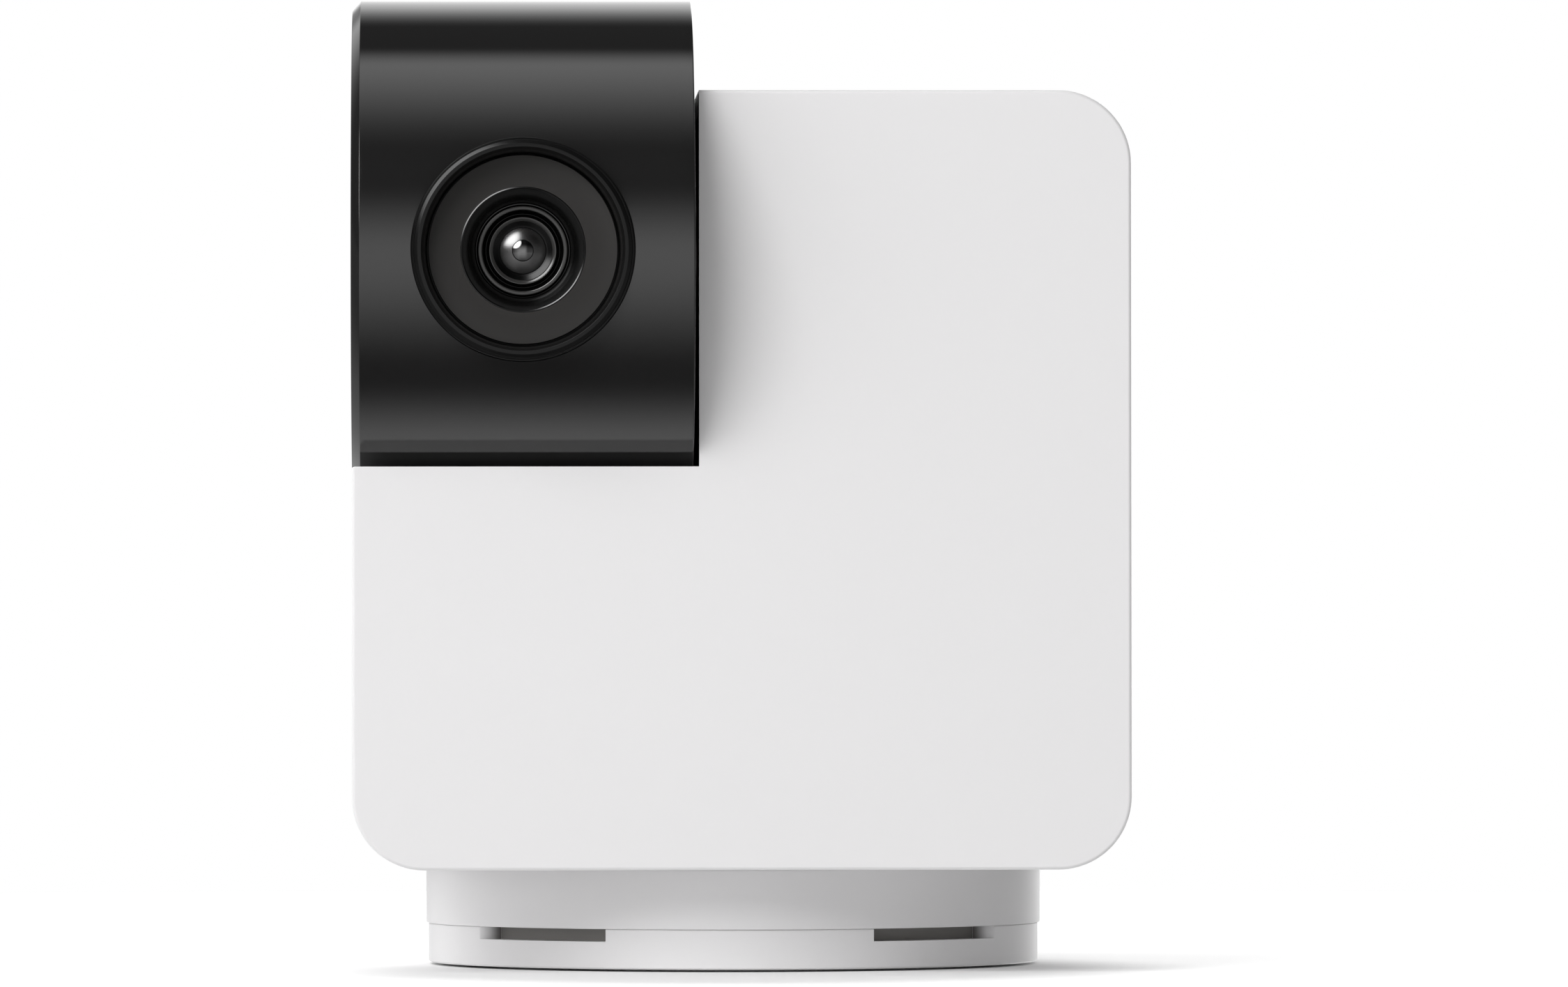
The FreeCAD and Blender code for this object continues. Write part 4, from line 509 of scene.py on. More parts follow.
class Rules:
    """The geometry trees: what repeats, follows a path or has a rule for its shape."""

    GEOMETRY = "NodeSocketGeometry"
    NUMBER = "NodeSocketFloat"
    COUNT = "NodeSocketInt"
    MATERIAL = "NodeSocketMaterial"
    VECTOR = "NodeSocketVector"
    OBJECT = "NodeSocketObject"
    USUAL_LENGTH = 0.01
    TUBE_SIDES = 360
    OPENING_SIDES = 256
    CIRCLE_STEPS = 192
    HELIX_STEPS = 64
    RIDGE_SIDES = 4
    WIRE_SIDES = 6
    WEAVE_DEPTH = 0.8

    def __init__(self) -> None:
        """Builds every tree once."""
        self.bored_tube = self._bored_tube()
        self.repeats = self._repeats()
        self.perforations = self._perforations()
        self.beads = self._beads()
        self.thread = self._thread()
        self.weave = self._weave()

    def _lengths(self, *labels: str) -> dict[str, tuple[str, Any]]:
        """Inputs that are lengths."""
        return {label: (self.NUMBER, self.USUAL_LENGTH) for label in labels}

    def _start(self, name: str, inputs: dict[str, tuple[str, Any]]) -> Tree:
        """A geometry tree with a geometry and a material among its inputs."""
        kinds = {"Geometry": (self.GEOMETRY, None), **inputs, "Material": (self.MATERIAL, None)}
        return Tree.group(name, "GeometryNodeTree", kinds, {"Geometry": self.GEOMETRY})

    @staticmethod
    def _end(tree: Tree, geometry: Socket) -> Tree:
        """Ends a tree in Realize Instances and Set Material.

        Args:
            tree: The tree.
            geometry: Its result.

        Returns:
            The same tree.
        """
        real = tree.add("GeometryNodeRealizeInstances", {"Geometry": geometry}).outputs[0]
        keys = {"Geometry": real, "Material": tree.inlet["Material"]}
        tree.feed(tree.outlet.inputs[0], tree.add("GeometryNodeSetMaterial", keys).outputs[0])
        return tree

    @staticmethod
    def _moved(tree: Tree, geometry: Socket, **keys: Any) -> Socket:
        """A geometry moved or turned."""
        return tree.add("GeometryNodeTransform", {"Geometry": geometry, **keys}).outputs[0]

    @staticmethod
    def _copies(tree: Tree, points: Socket, thing: Socket, **keys: Any) -> Socket:
        """A thing at each point."""
        keys = {"Points": points, "Instance": thing, **keys}
        return tree.add("GeometryNodeInstanceOnPoints", keys).outputs[0]

    @staticmethod
    def _points(tree: Tree, count: Any) -> Socket:
        """As many points as a count says, all at the origin."""
        return tree.add("GeometryNodeMeshLine", {"Count": count, "Offset": (0, 0, 0)}).outputs[0]

    @staticmethod
    def _placed(tree: Tree, points: Socket, spot: Socket) -> Socket:
        """Points put in their places."""
        return tree.add("GeometryNodeSetPosition", {"Geometry": points, "Position": spot}).outputs[0]

    @staticmethod
    def _circle(tree: Tree, steps: Any, radius: Any) -> Socket:
        """A circle about the origin."""
        keys = {"Resolution": steps, "Radius": radius}
        return tree.add("GeometryNodeCurvePrimitiveCircle", keys).outputs[0]

    @staticmethod
    def _pulled(tree: Tree, path: Socket, section: Socket, caps: bool) -> Socket:
        """A section pulled along a path."""
        keys = {"Curve": path, "Profile Curve": section, "Fill Caps": caps}
        return tree.add("GeometryNodeCurveToMesh", keys).outputs[0]

    @staticmethod
    def _less(tree: Tree, solid: Socket, tools: list[Socket]) -> Socket:
        """A solid with tools cut from it."""
        keys = {"Mesh 1": solid, "Mesh 2": tools}
        return tree.add("GeometryNodeMeshBoolean", keys, operation="DIFFERENCE", solver="EXACT").outputs[0]

    def _bar(self, tree: Tree, radius: Any, length: Any, sides: int, middle: Socket, turned: Place) -> Socket:
        """A round bar about a middle point, turned by three angles."""
        bar = tree.add("GeometryNodeMeshCylinder", {"Vertices": sides, "Radius": radius, "Depth": length})
        return self._moved(tree, bar.outputs["Mesh"], Translation=middle, Rotation=turned)

    def _bored_tube(self) -> Tree:
        """A tube along X with a cross bore that opens towards -Y.

        Returns:
            The tree.
        """
        names = ("Radius", "Bore", "Length", "Middle", "Axis Y", "Axis Z", "Cross Bore", "Cross Middle")
        tree = self._start("bored_tube", self._lengths(*names))
        inlet = tree.inlet
        along, forward = (0, math.pi / 2, 0), (math.pi / 2, 0, 0)
        axis = tree.triple(inlet["Middle"], inlet["Axis Y"], inlet["Axis Z"])
        outside = self._bar(tree, inlet["Radius"], inlet["Length"], self.TUBE_SIDES, axis, along)
        longer = tree.maths("MULTIPLY", inlet["Length"], 2.0)
        inside = self._bar(tree, inlet["Bore"], longer, self.TUBE_SIDES, axis, along)
        front = tree.maths("SUBTRACT", inlet["Axis Y"], inlet["Radius"])
        place = tree.triple(inlet["Cross Middle"], front, inlet["Axis Z"])
        opening = self._bar(tree, inlet["Cross Bore"], inlet["Radius"], self.OPENING_SIDES, place, forward)
        return self._end(tree, self._less(tree, outside, [inside, opening]))

    def _repeats(self) -> Tree:
        """The same thing at each point of the input, turned one way.

        Returns:
            The tree.
        """
        tree = self._start("repeats", {"Thing": (self.OBJECT, None), "Turn": (self.VECTOR, (0, 0, 0))})
        inlet = tree.inlet
        thing = tree.add("GeometryNodeObjectInfo", {"Object": inlet["Thing"]}).outputs["Geometry"]
        return self._end(tree, self._copies(tree, inlet["Geometry"], thing, Rotation=inlet["Turn"]))

    def _perforations(self) -> Tree:
        """Round holes in rings about a middle one, cut through the input along Y.

        The rings hold 6, 12, 18 holes and so on, so k rings and the middle hole are 3k(k + 1) + 1 holes.
        Hole i is in the first ring at or above (sqrt(12i + 9) - 3) / 6. A hair is taken off that, so that
        rounding doesn't put a ring's last hole into the next ring.

        Returns:
            The tree.
        """
        inputs = {"Rings": (self.COUNT, 3), "Thing": (self.OBJECT, None)}
        tree = self._start("perforations", {**inputs, **self._lengths("Pitch", "Middle Z")})
        inlet = tree.inlet
        rings = inlet["Rings"]
        hair = 0.001
        total = tree.maths("MULTIPLY_ADD", tree.maths("MULTIPLY", rings, 3), tree.maths("ADD", rings, 1), 1)
        index = tree.add("GeometryNodeInputIndex").outputs[0]
        root = tree.maths("SQRT", tree.maths("MULTIPLY_ADD", index, 12.0, 9.0))
        ring = tree.maths("CEIL", tree.maths("DIVIDE", tree.maths("SUBTRACT", root, 3.0 + hair), 6.0))
        tripled = tree.maths("MULTIPLY", ring, 3.0)
        inner = tree.maths("MULTIPLY_ADD", tripled, tree.maths("SUBTRACT", ring, 1.0), 1.0)
        share = tree.maths("DIVIDE", tree.maths("SUBTRACT", index, inner), tree.maths("MULTIPLY", ring, 6.0))
        angle = tree.maths("MULTIPLY", share, math.tau)
        reach = tree.maths("MULTIPLY", ring, inlet["Pitch"])
        across = tree.maths("MULTIPLY", reach, tree.maths("COSINE", angle))
        up = tree.maths("MULTIPLY_ADD", reach, tree.maths("SINE", angle), inlet["Middle Z"])
        points = self._placed(tree, self._points(tree, total), tree.triple(across, 0.0, up))
        thing = tree.add("GeometryNodeObjectInfo", {"Object": inlet["Thing"]}).outputs["Geometry"]
        drills = self._copies(tree, points, thing)
        return self._end(tree, self._less(tree, inlet["Geometry"], [drills]))

    def _beads(self) -> Tree:
        """Round beads that follow circles about the Z axis, one inside the other.

        Returns:
            The tree.
        """
        inputs = {"Count": (self.COUNT, 1), "Sides": (self.COUNT, 16)}
        tree = self._start("beads", {**inputs, **self._lengths("First Radius", "Spacing", "Bead")})
        inlet = tree.inlet
        index = tree.add("GeometryNodeInputIndex").outputs[0]
        size = tree.maths("MULTIPLY_ADD", index, inlet["Spacing"], inlet["First Radius"])
        circle = self._circle(tree, self.CIRCLE_STEPS, 1.0)
        circles = self._copies(tree, self._points(tree, inlet["Count"]), circle, Scale=size)
        paths = tree.add("GeometryNodeRealizeInstances", {"Geometry": circles}).outputs[0]
        section = self._circle(tree, inlet["Sides"], inlet["Bead"])
        return self._end(tree, self._pulled(tree, paths, section, False))

    def _thread(self) -> Tree:
        """A screw thread's ridge that follows a helix up the Z axis.

        Returns:
            The tree.
        """
        tree = self._start("thread", self._lengths("Radius", "Pitch", "Length", "Ridge"))
        inlet = tree.inlet
        keys = {
            "Resolution": self.HELIX_STEPS,
            "Rotations": tree.maths("DIVIDE", inlet["Length"], inlet["Pitch"]),
            "Start Radius": inlet["Radius"],
            "End Radius": inlet["Radius"],
            "Height": inlet["Length"],
        }
        helix = tree.add("GeometryNodeCurveSpiral", keys).outputs[0]
        section = self._circle(tree, self.RIDGE_SIDES, inlet["Ridge"])
        return self._end(tree, self._pulled(tree, helix, section, True))

    def _weave(self) -> Tree:
        """A round piece of woven wire in the XZ plane, each wire as long as the circle is wide there.

        Returns:
            The tree.
        """
        lengths = self._lengths("Radius", "Pitch", "Wire", "Level", "Middle Z")
        tree = self._start("weave", {"Count": (self.COUNT, 40), **lengths})
        inlet = tree.inlet
        wire = inlet["Wire"]
        index = tree.add("GeometryNodeInputIndex").outputs[0]
        middle = tree.maths("DIVIDE", tree.maths("SUBTRACT", inlet["Count"], 1.0), 2.0)
        across = tree.maths("MULTIPLY", tree.maths("SUBTRACT", index, middle), inlet["Pitch"])
        whole, part = (tree.maths("POWER", side, 2.0) for side in (inlet["Radius"], across))
        least = 1e-9
        squares = tree.maths("MAXIMUM", tree.maths("SUBTRACT", whole, part), least)
        length = tree.maths("MULTIPLY", tree.maths("SQRT", squares), 2.0)
        keys = {"Vertices": self.WIRE_SIDES, "Radius": 1.0, "Depth": 1.0}
        bar = tree.add("GeometryNodeMeshCylinder", keys).outputs["Mesh"]
        sheets = []
        for quarter, side in ((0.0, 1.0), (math.pi / 2, -1.0)):
            depth = tree.maths("MULTIPLY", wire, self.WEAVE_DEPTH * side)
            points = self._placed(tree, self._points(tree, inlet["Count"]), tree.triple(across, depth, 0.0))
            wires = self._copies(tree, points, bar, Scale=tree.triple(wire, wire, length))
            sheets.append(self._moved(tree, wires, Rotation=(0, quarter, 0)))
        both = tree.add("GeometryNodeJoinGeometry", {"Geometry": sheets}).outputs[0]
        place = tree.triple(0.0, inlet["Level"], inlet["Middle Z"])
        return self._end(tree, self._moved(tree, both, Translation=place))


# Finishes


@dataclass(frozen=True)
class Finish:
    """A material: its plain values and the pattern that lies over them.

    Attributes:
        slot: The record's slot that it stands for.
        colour: The base colour, linear.
        second: The colour that the pattern brings in.
        roughness: The roughness where nothing varies it.
        uneven: How far the pattern moves the roughness.
        metallic: 1 for bare metal.
        ior: The refractive index.
        coat: The weight of a clear coat.
        grain: The pattern's size in millimetres.
        relief: The pattern's depth in millimetres.
        mottle: How much of the second colour shows.
        pattern: The kind of pattern.
        centre: A point of the axis that the painted slot shade or the painted rim light fades away from, in
            millimetres.
        label: What is added to the slot's name where a slot has several finishes.
    """

    slot: Slot
    colour: Colour
    second: Colour
    roughness: float
    uneven: float = 0.05
    metallic: float = 0.0
    ior: float = 1.5
    coat: float = 0.0
    grain: float = 0.3
    relief: float = 0.002
    mottle: float = 0.1
    pattern: Pattern = Pattern.MOULDED
    centre: Place = (0.0, 0.0, 0.0)
    label: str = ""

    @property
    def name(self) -> str:
        """The material's name."""
        return self.slot.value + self.label


WHITE = Finish(
    Slot.WHITE_SHELL, (0.80, 0.793, 0.799), (0.765, 0.757, 0.762), 0.42,
    grain=0.16, relief=0.0012, mottle=0.25,
)
# Painted shade for the slots' walls: dark deep in, white towards the outer face.
RUNOUT_SHADE = Finish(
    Slot.WHITE_SHELL, (0.2, 0.19, 0.183), WHITE.colour, 0.5,
    grain=0.1, relief=0.001, mottle=1.0, pattern=Pattern.SUNK, label="_runout",
)
GLOSS = Finish(
    Slot.BLACK_GLOSS, (0.0125, 0.0123, 0.0122), (0.011, 0.011, 0.0115), 0.075, 0.03,
    grain=2.2, relief=0.0, mottle=0.3,
)
SATIN = Finish(
    Slot.BLACK_SATIN, (0.009, 0.0088, 0.0087), (0.014, 0.0137, 0.0133), 0.32, 0.06,
    grain=0.14, relief=0.001, mottle=0.3,
)
LINER = Finish(
    Slot.BLACK_SATIN, (0.006, 0.006, 0.006), (0.009, 0.009, 0.009), 0.6, 0.06,
    grain=0.2, relief=0.001, label="_liner",
)
RING = Finish(
    Slot.BLACK_SATIN, (0.005, 0.005, 0.005), (0.008, 0.008, 0.008), 0.2, 0.04,
    ior=1.23, grain=0.1, relief=0.0005, label="_ring",
)
BAFFLE = Finish(
    Slot.BLACK_SATIN, (0.002, 0.002, 0.002), (0.0035, 0.0035, 0.0035), 0.17, 0.04,
    ior=1.4, grain=0.09, relief=0.0003, label="_baffle",
)
RIDGE = Finish(
    Slot.BLACK_SATIN, (0.033, 0.0323, 0.0315), (0.038, 0.0372, 0.0363), 0.16, 0.03,
    ior=1.42, grain=0.1, relief=0.0003, label="_ridge",
)
WELL = Finish(
    Slot.BLACK_SATIN, (0.002, 0.002, 0.002), (0.003, 0.003, 0.003), 0.2, 0.04,
    ior=1.25, grain=0.1, relief=0.0003, label="_well",
)
# The annulus is painted lighter towards its rim: painted light that evens out the shadow of the ring.
ANNULUS = Finish(
    Slot.DARK_ANNULUS, (0.0335, 0.032, 0.031), (0.0475, 0.0458, 0.0448), 0.75, 0.04,
    ior=1.2, grain=0.1, relief=0.001, mottle=1.0, pattern=Pattern.DISHED, centre=LENS_AXIS,
)
GLASS = Finish(
    Slot.LENS_GLASS, (0.02, 0.02, 0.03), (0.03, 0.02, 0.04), 0.04, 0.01,
    ior=1.8, coat=1.0, grain=1.0, relief=0.0,
)
DOME = Finish(
    Slot.LENS_GLASS, (0.008, 0.0078, 0.0075), (0.011, 0.0107, 0.0103), 0.22, 0.03,
    ior=1.8, grain=0.4, relief=0.0, label="_dome",
)
PUPIL = Finish(
    Slot.LENS_GLASS, (0.002, 0.002, 0.002), (0.006, 0.005, 0.007), 0.02, 0.01,
    ior=2.0, grain=0.5, relief=0.0, label="_pupil",
)
RUBBER = Finish(
    Slot.FOOT_RUBBER, (0.035, 0.035, 0.036), (0.055, 0.055, 0.056), 0.85, 0.08,
    ior=1.4, grain=0.12, relief=0.006, mottle=0.6,
)
BRASS = Finish(
    Slot.BRASS_INSERT, (0.78, 0.56, 0.27), (0.62, 0.41, 0.18), 0.28, 0.12, 1.0,
    pattern=Pattern.BRUSHED, mottle=0.5,
)
SCREW = Finish(
    Slot.STEEL_SCREW, (0.58, 0.58, 0.59), (0.40, 0.40, 0.42), 0.3, 0.1, 1.0,
    grain=0.2, pattern=Pattern.BRUSHED, mottle=0.5,
)
SHEET = Finish(
    Slot.STEEL_SHEET, (0.62, 0.62, 0.63), (0.48, 0.48, 0.5), 0.3, 0.1, 1.0,
    grain=0.5, relief=0.001, pattern=Pattern.BRUSHED, mottle=0.4,
)
PLATE = Finish(
    Slot.ALUMINIUM_PLATE, (0.72, 0.72, 0.73), (0.58, 0.58, 0.6), 0.36, 0.1, 1.0,
    grain=0.4, relief=0.001, pattern=Pattern.BRUSHED, mottle=0.4,
)
BOARD = Finish(
    Slot.BOARD_GREEN, (0.008, 0.07, 0.03), (0.03, 0.16, 0.07), 0.3, 0.1,
    grain=1.1, relief=0.01, pattern=Pattern.TRACES, mottle=0.9,
)
CHIP = Finish(
    Slot.CHIP_BLACK, (0.012, 0.012, 0.013), (0.03, 0.03, 0.031), 0.55, 0.1,
    grain=0.15, relief=0.003, mottle=0.5,
)
CREAM = Finish(
    Slot.CONNECTOR_CREAM, (0.72, 0.66, 0.5), (0.64, 0.57, 0.42), 0.5, 0.08,
    grain=0.4, relief=0.003, mottle=0.5,
)
SLEEVE = Finish(
    Slot.WIRE_SLEEVE, (0.02, 0.02, 0.022), (0.07, 0.07, 0.075), 0.6, 0.1,
    grain=0.5, relief=0.03, pattern=Pattern.BRAID, mottle=0.8,
)
ACETAL = Finish(
    Slot.ACETAL_WHITE, (0.75, 0.74, 0.7), (0.66, 0.65, 0.6), 0.38, 0.06, grain=0.5, mottle=0.5,
)
SOFT = Finish(
    Slot.SOFT_BLACK, (0.014, 0.014, 0.015), (0.03, 0.03, 0.03), 0.8, 0.08,
    ior=1.4, grain=0.15, relief=0.004, mottle=0.5,
)
VENT = Finish(
    Slot.SOFT_BLACK, (0.31, 0.3, 0.287), (0.2, 0.19, 0.182), 0.6, 0.06,
    grain=0.12, relief=0.004, mottle=0.7, pattern=Pattern.BRAID, label="_vent",
)
SPEAKER = Finish(
    Slot.SPEAKER_BLACK, (0.02, 0.02, 0.021), (0.05, 0.048, 0.046), 0.62, 0.12,
    relief=0.006, mottle=0.6,
)
FILM = Finish(
    Slot.ANTENNA_FILM, (0.30, 0.14, 0.03), (0.55, 0.3, 0.12), 0.3, 0.08,
    grain=3.0, relief=0.006, pattern=Pattern.TRACES, mottle=0.9,
)

# The finish of each slot where a node keeps its own mesh.
PLAIN = (
    WHITE, GLOSS, SATIN, ANNULUS, GLASS, RUBBER, BRASS, SCREW, SHEET,
    PLATE, BOARD, CHIP, CREAM, SLEEVE, ACETAL, SOFT, SPEAKER, FILM,
)


class PaintShop:
    """Makes each finish's material once, from shared groups of shader nodes."""

    NUMBER = "NodeSocketFloat"
    COLOUR = "NodeSocketColor"
    VECTOR = "NodeSocketVector"
    # Where the painted shade in the slots and the painted light on the annulus start and end, in grains from
    # their axes.
    SLOT_SHADE_SPAN = (244.0, 257.0)
    LACQUER = (56.0, 80.0)

    def __init__(self) -> None:
        """Builds the shared groups."""
        self.made: dict[str, bpy.types.Material] = {}
        draws = {
            Pattern.MOULDED: self._moulded,
            Pattern.BRUSHED: self._brushed,
            Pattern.SUNK: self._sunk,
            Pattern.TRACES: self._traces,
            Pattern.BRAID: self._braid,
            Pattern.DISHED: self._dished,
        }
        self.groups = {pattern: self._group(pattern.value, draw) for pattern, draw in draws.items()}

    def _group(self, name: str, draw: Callable[[Tree, Socket], tuple[Any, Any]]) -> bpy.types.NodeTree:
        """A group that turns a pattern into a colour, a roughness and a height.

        Args:
            name: The group's name.
            draw: What draws the pattern's tone and height.

        Returns:
            The group.
        """
        inputs = {
            "Vector": (self.VECTOR, None),
            "Colour": (self.COLOUR, None),
            "Second Colour": (self.COLOUR, None),
            "Grain": (self.NUMBER, 0.001),
            "Mottle": (self.NUMBER, 0.1),
            "Roughness": (self.NUMBER, 0.4),
            "Uneven": (self.NUMBER, 0.05),
        }
        outputs = {"Colour": self.COLOUR, "Roughness": self.NUMBER, "Height": self.NUMBER}
        tree = Tree.group(name, "ShaderNodeTree", inputs, outputs)
        inlet = tree.inlet
        tone, height = draw(tree, tree.vectors("DIVIDE", inlet["Vector"], tree.triple(*[inlet["Grain"]] * 3)))
        share = tree.maths("MULTIPLY", tone, inlet["Mottle"])
        colour = tree.mix(share, inlet["Colour"], inlet["Second Colour"])
        shift = tree.maths("MULTIPLY", tree.maths("SUBTRACT", tone, 0.5), inlet["Uneven"])
        tree.feed(tree.outlet.inputs["Colour"], colour)
        tree.feed(tree.outlet.inputs["Roughness"], tree.maths("ADD", inlet["Roughness"], shift))
        tree.feed(tree.outlet.inputs["Height"], height)
        return tree.tree

    @staticmethod
    def _noise(tree: Tree, vector: Socket, scale: float, detail: float = 2.0) -> Socket:
        """Noise as a number."""
        keys = {"Vector": vector, "Scale": scale, "Detail": detail}
        return tree.add("ShaderNodeTexNoise", keys).outputs["Fac"]

    def _moulded(self, tree: Tree, vector: Socket) -> tuple[Any, Any]:
        """A fine even grain, with slow changes over the whole surface.

        Args:
            tree: The group's tree.
            vector: The place in grains, as for every pattern.

        Returns:
            The tone and the height, as for every pattern.
        """
        fine = self._noise(tree, vector, 1.0, 3.0)
        slow = self._noise(tree, vector, 0.021)
        return tree.maths("MULTIPLY_ADD", fine, 0.4, tree.maths("MULTIPLY", slow, 0.6)), fine

    def _brushed(self, tree: Tree, vector: Socket) -> tuple[Any, Any]:
        """Long fine scratches along X, with cloudy patches.

        Args:
            tree: The group's tree.
            vector: The place in grains.

        Returns:
            The tone and the height.
        """
        stretched = tree.vectors("MULTIPLY", vector, (0.06, 1.0, 1.0))
        lines = self._noise(tree, stretched, 3.0, 4.0)
        cloud = self._noise(tree, vector, 0.12)
        return tree.maths("MULTIPLY_ADD", lines, 0.7, tree.maths("MULTIPLY", cloud, 0.3)), lines

    def _faded(self, tree: Tree, vector: Socket, across: Place, stretch: Span) -> tuple[Any, Any]:
        """A tone that rises over a stretch of the distance from an axis, with a fine grain in it."""
        flat = tree.vectors("MULTIPLY", vector, across)
        return tree.ramp(tree.vectors("LENGTH", flat), *stretch), self._noise(tree, vector, 1.0, 3.0)

    def _sunk(self, tree: Tree, vector: Socket) -> tuple[Any, Any]:
        """Painted shade: a tone that rises away from the Z axis, dark deep in a slot and white towards its
        mouth.
        """
        return self._faded(tree, vector, (1.0, 1.0, 0.0), self.SLOT_SHADE_SPAN)

    def _dished(self, tree: Tree, vector: Socket) -> tuple[Any, Any]:
        """Painted light: a tone that grows lighter away from the Y axis, to even out the ring's shadow on the
        annulus.
        """
        return self._faded(tree, vector, (1.0, 0.0, 1.0), self.LACQUER)

    def _traces(self, tree: Tree, vector: Socket) -> tuple[Any, Any]:
        """Narrow conductors with round pads under a lacquer.

        Args:
            tree: The group's tree.
            vector: The place in grains.

        Returns:
            The tone and the height.
        """
        cells = tree.add("ShaderNodeTexVoronoi", {"Vector": vector, "Scale": 0.55}, distance="CHEBYCHEV")
        pads = tree.ramp(cells.outputs["Distance"], 0.16, 0.12)
        lines = tree.add("ShaderNodeTexBrick", {"Vector": vector, "Scale": 0.8, "Mortar Size": 0.07})
        tone = tree.maths("MAXIMUM", pads, lines.outputs["Fac"])
        return tone, tone

    def _braid(self, tree: Tree, vector: Socket) -> tuple[Any, Any]:
        """Crossed strands.

        Args:
            tree: The group's tree.
            vector: The place in grains.

        Returns:
            The tone and the height.
        """
        waves = []
        for turned in ((1.0, 1.0, 1.0), (1.0, -1.0, 1.0)):
            keys = {"Vector": tree.vectors("MULTIPLY", vector, turned), "Scale": 1.6}
            waves.append(tree.add("ShaderNodeTexWave", keys, bands_direction="DIAGONAL").outputs["Fac"])
        strands = tree.maths("MAXIMUM", *waves)
        return strands, strands

    def material(self, finish: Finish) -> bpy.types.Material:
        """The material of a finish, made the first time that it is asked for.

        Args:
            finish: The finish.

        Returns:
            Its material.
        """
        if finish.name in self.made:
            return self.made[finish.name]
        material = bpy.data.materials.new(finish.name)
        material.use_nodes = True
        material.node_tree.nodes.clear()
        tree = Tree(material.node_tree)
        keys = {
            "Vector": tree.add("ShaderNodeTexCoord").outputs["Object"],
            "Location": tuple(-value * MM for value in finish.centre),
        }
        values = {
            "Vector": tree.add("ShaderNodeMapping", keys).outputs[0],
            "Colour": (*finish.colour, 1.0),
            "Second Colour": (*finish.second, 1.0),
            "Grain": finish.grain * MM,
            "Mottle": finish.mottle,
            "Roughness": finish.roughness,
            "Uneven": finish.uneven,
        }
        group = tree.add("ShaderNodeGroup", values, node_tree=self.groups[finish.pattern])
        keys = {
            "Base Color": group.outputs["Colour"],
            "Roughness": group.outputs["Roughness"],
            "Metallic": finish.metallic,
            "IOR": finish.ior,
            "Coat Weight": finish.coat,
        }
        shader = tree.add("ShaderNodeBsdfPrincipled", keys)
        if finish.relief:
            keys = {"Height": group.outputs["Height"], "Strength": 1.0, "Distance": finish.relief * MM}
            tree.feed(shader.inputs["Normal"], tree.add("ShaderNodeBump", keys).outputs[0])
        tree.add("ShaderNodeOutputMaterial", {"Surface": shader.outputs[0]})
        self.made[finish.name] = material
        return material


class Workshop:
    """What every sub-assembly builds with: the paint shop, the trees and the count of what was made."""

    def __init__(self) -> None:
        """Builds the shared trees and groups."""
        self.paint = PaintShop()
        self.rules = Rules()
        self.count = 0

    def fit(self, piece: Piece, finishes: Sequence[Finish], part: Part, *nodes: str) -> None:
        """Finishes a piece and puts it on its body.

        Args:
            piece: The piece, with its place in its mesh.
            finishes: Its finishes, the first of which gives the slot.
            part: The body that it rides on.
            nodes: The nodes that it stands for.
        """
        smooth(piece)
        piece.data.materials.clear()
        for finish in finishes:
            piece.data.materials.append(self.paint.material(finish))
        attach(piece, part.value)
        if nodes:
            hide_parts(*nodes)
        self.count += 1
        LOG.info("%s: %d faces on %s", piece.name, len(piece.data.polygons), part.value)

    @staticmethod
    def paint_faces(piece: Piece, chosen: Callable[[Vector, Vector], bool]) -> None:
        """Gives a piece's second finish to the faces that a test on their middle and normal picks."""
        for face in piece.data.polygons:
            face.material_index = int(chosen(face.center / MM, face.normal))

    def grow(
        self,
        name: str,
        tree: Tree,
        finish: Finish,
        lengths: dict[str, float],
        others: Optional[dict[str, Any]] = None,
        start: Optional[Piece] = None,
    ) -> Piece:
        """Makes a piece by a geometry tree.

        Args:
            name: The piece's name.
            tree: The tree.
            finish: The finish that the tree sets.
            lengths: The tree's lengths, in millimetres.
            others: The tree's counts and objects.
            start: The piece that the tree works on, if it has one.

        Returns:
            The piece.
        """
        values: dict[str, Any] = {label: length * MM for label, length in lengths.items()}
        values.update(others or {}, Material=self.paint.material(finish))
        return run_tree(name, tree, values, start)

    def repeat(self, name: str, thing: Piece, spots: Sequence[Place], turned: Place = (0, 0, 0)) -> Piece:
        """The same thing at several spots, turned one way.

        Args:
            name: The piece's name.
            thing: What is repeated, which is removed afterwards.
            spots: Where it is repeated.
            turned: The angles that it is turned by.

        Returns:
            The piece.
        """
        points = new_piece(name, [Vector(spot) for spot in spots], [])
        piece = run_tree(name, self.rules.repeats, {"Thing": thing, "Turn": turned}, points)
        bpy.data.objects.remove(thing)
        return piece


def cap_screw(length: float) -> Piece:
    """A cap screw with a hexagon socket. Its head's outer face is at the origin and its shank runs along +Z.

    Args:
        length: The length of its shank.

    Returns:
        The screw.
    """
    head, high, shank = 1.9, 1.0, 1.0
    key, key_depth = 0.9, 0.6
    corners = [
        (0, 0, 0),
        (head, 0, 0.22),
        (head, high, 0.06),
        (shank, high, 0.06),
        (shank, high + length, 0.25),
        (0, high + length, 0),
    ]
    screw = turn("screw", round_profile(corners, closed=False, steps=5), segments=48, closed=False)
    angles = [math.tau * corner / 6 for corner in range(6)]
    hexagon = [(key * math.cos(angle), key * math.sin(angle)) for angle in angles]
    return carve(screw, [loft("key", Axis.Z, [(hexagon, -1.0), (hexagon, key_depth)])])


# The sub-assemblies


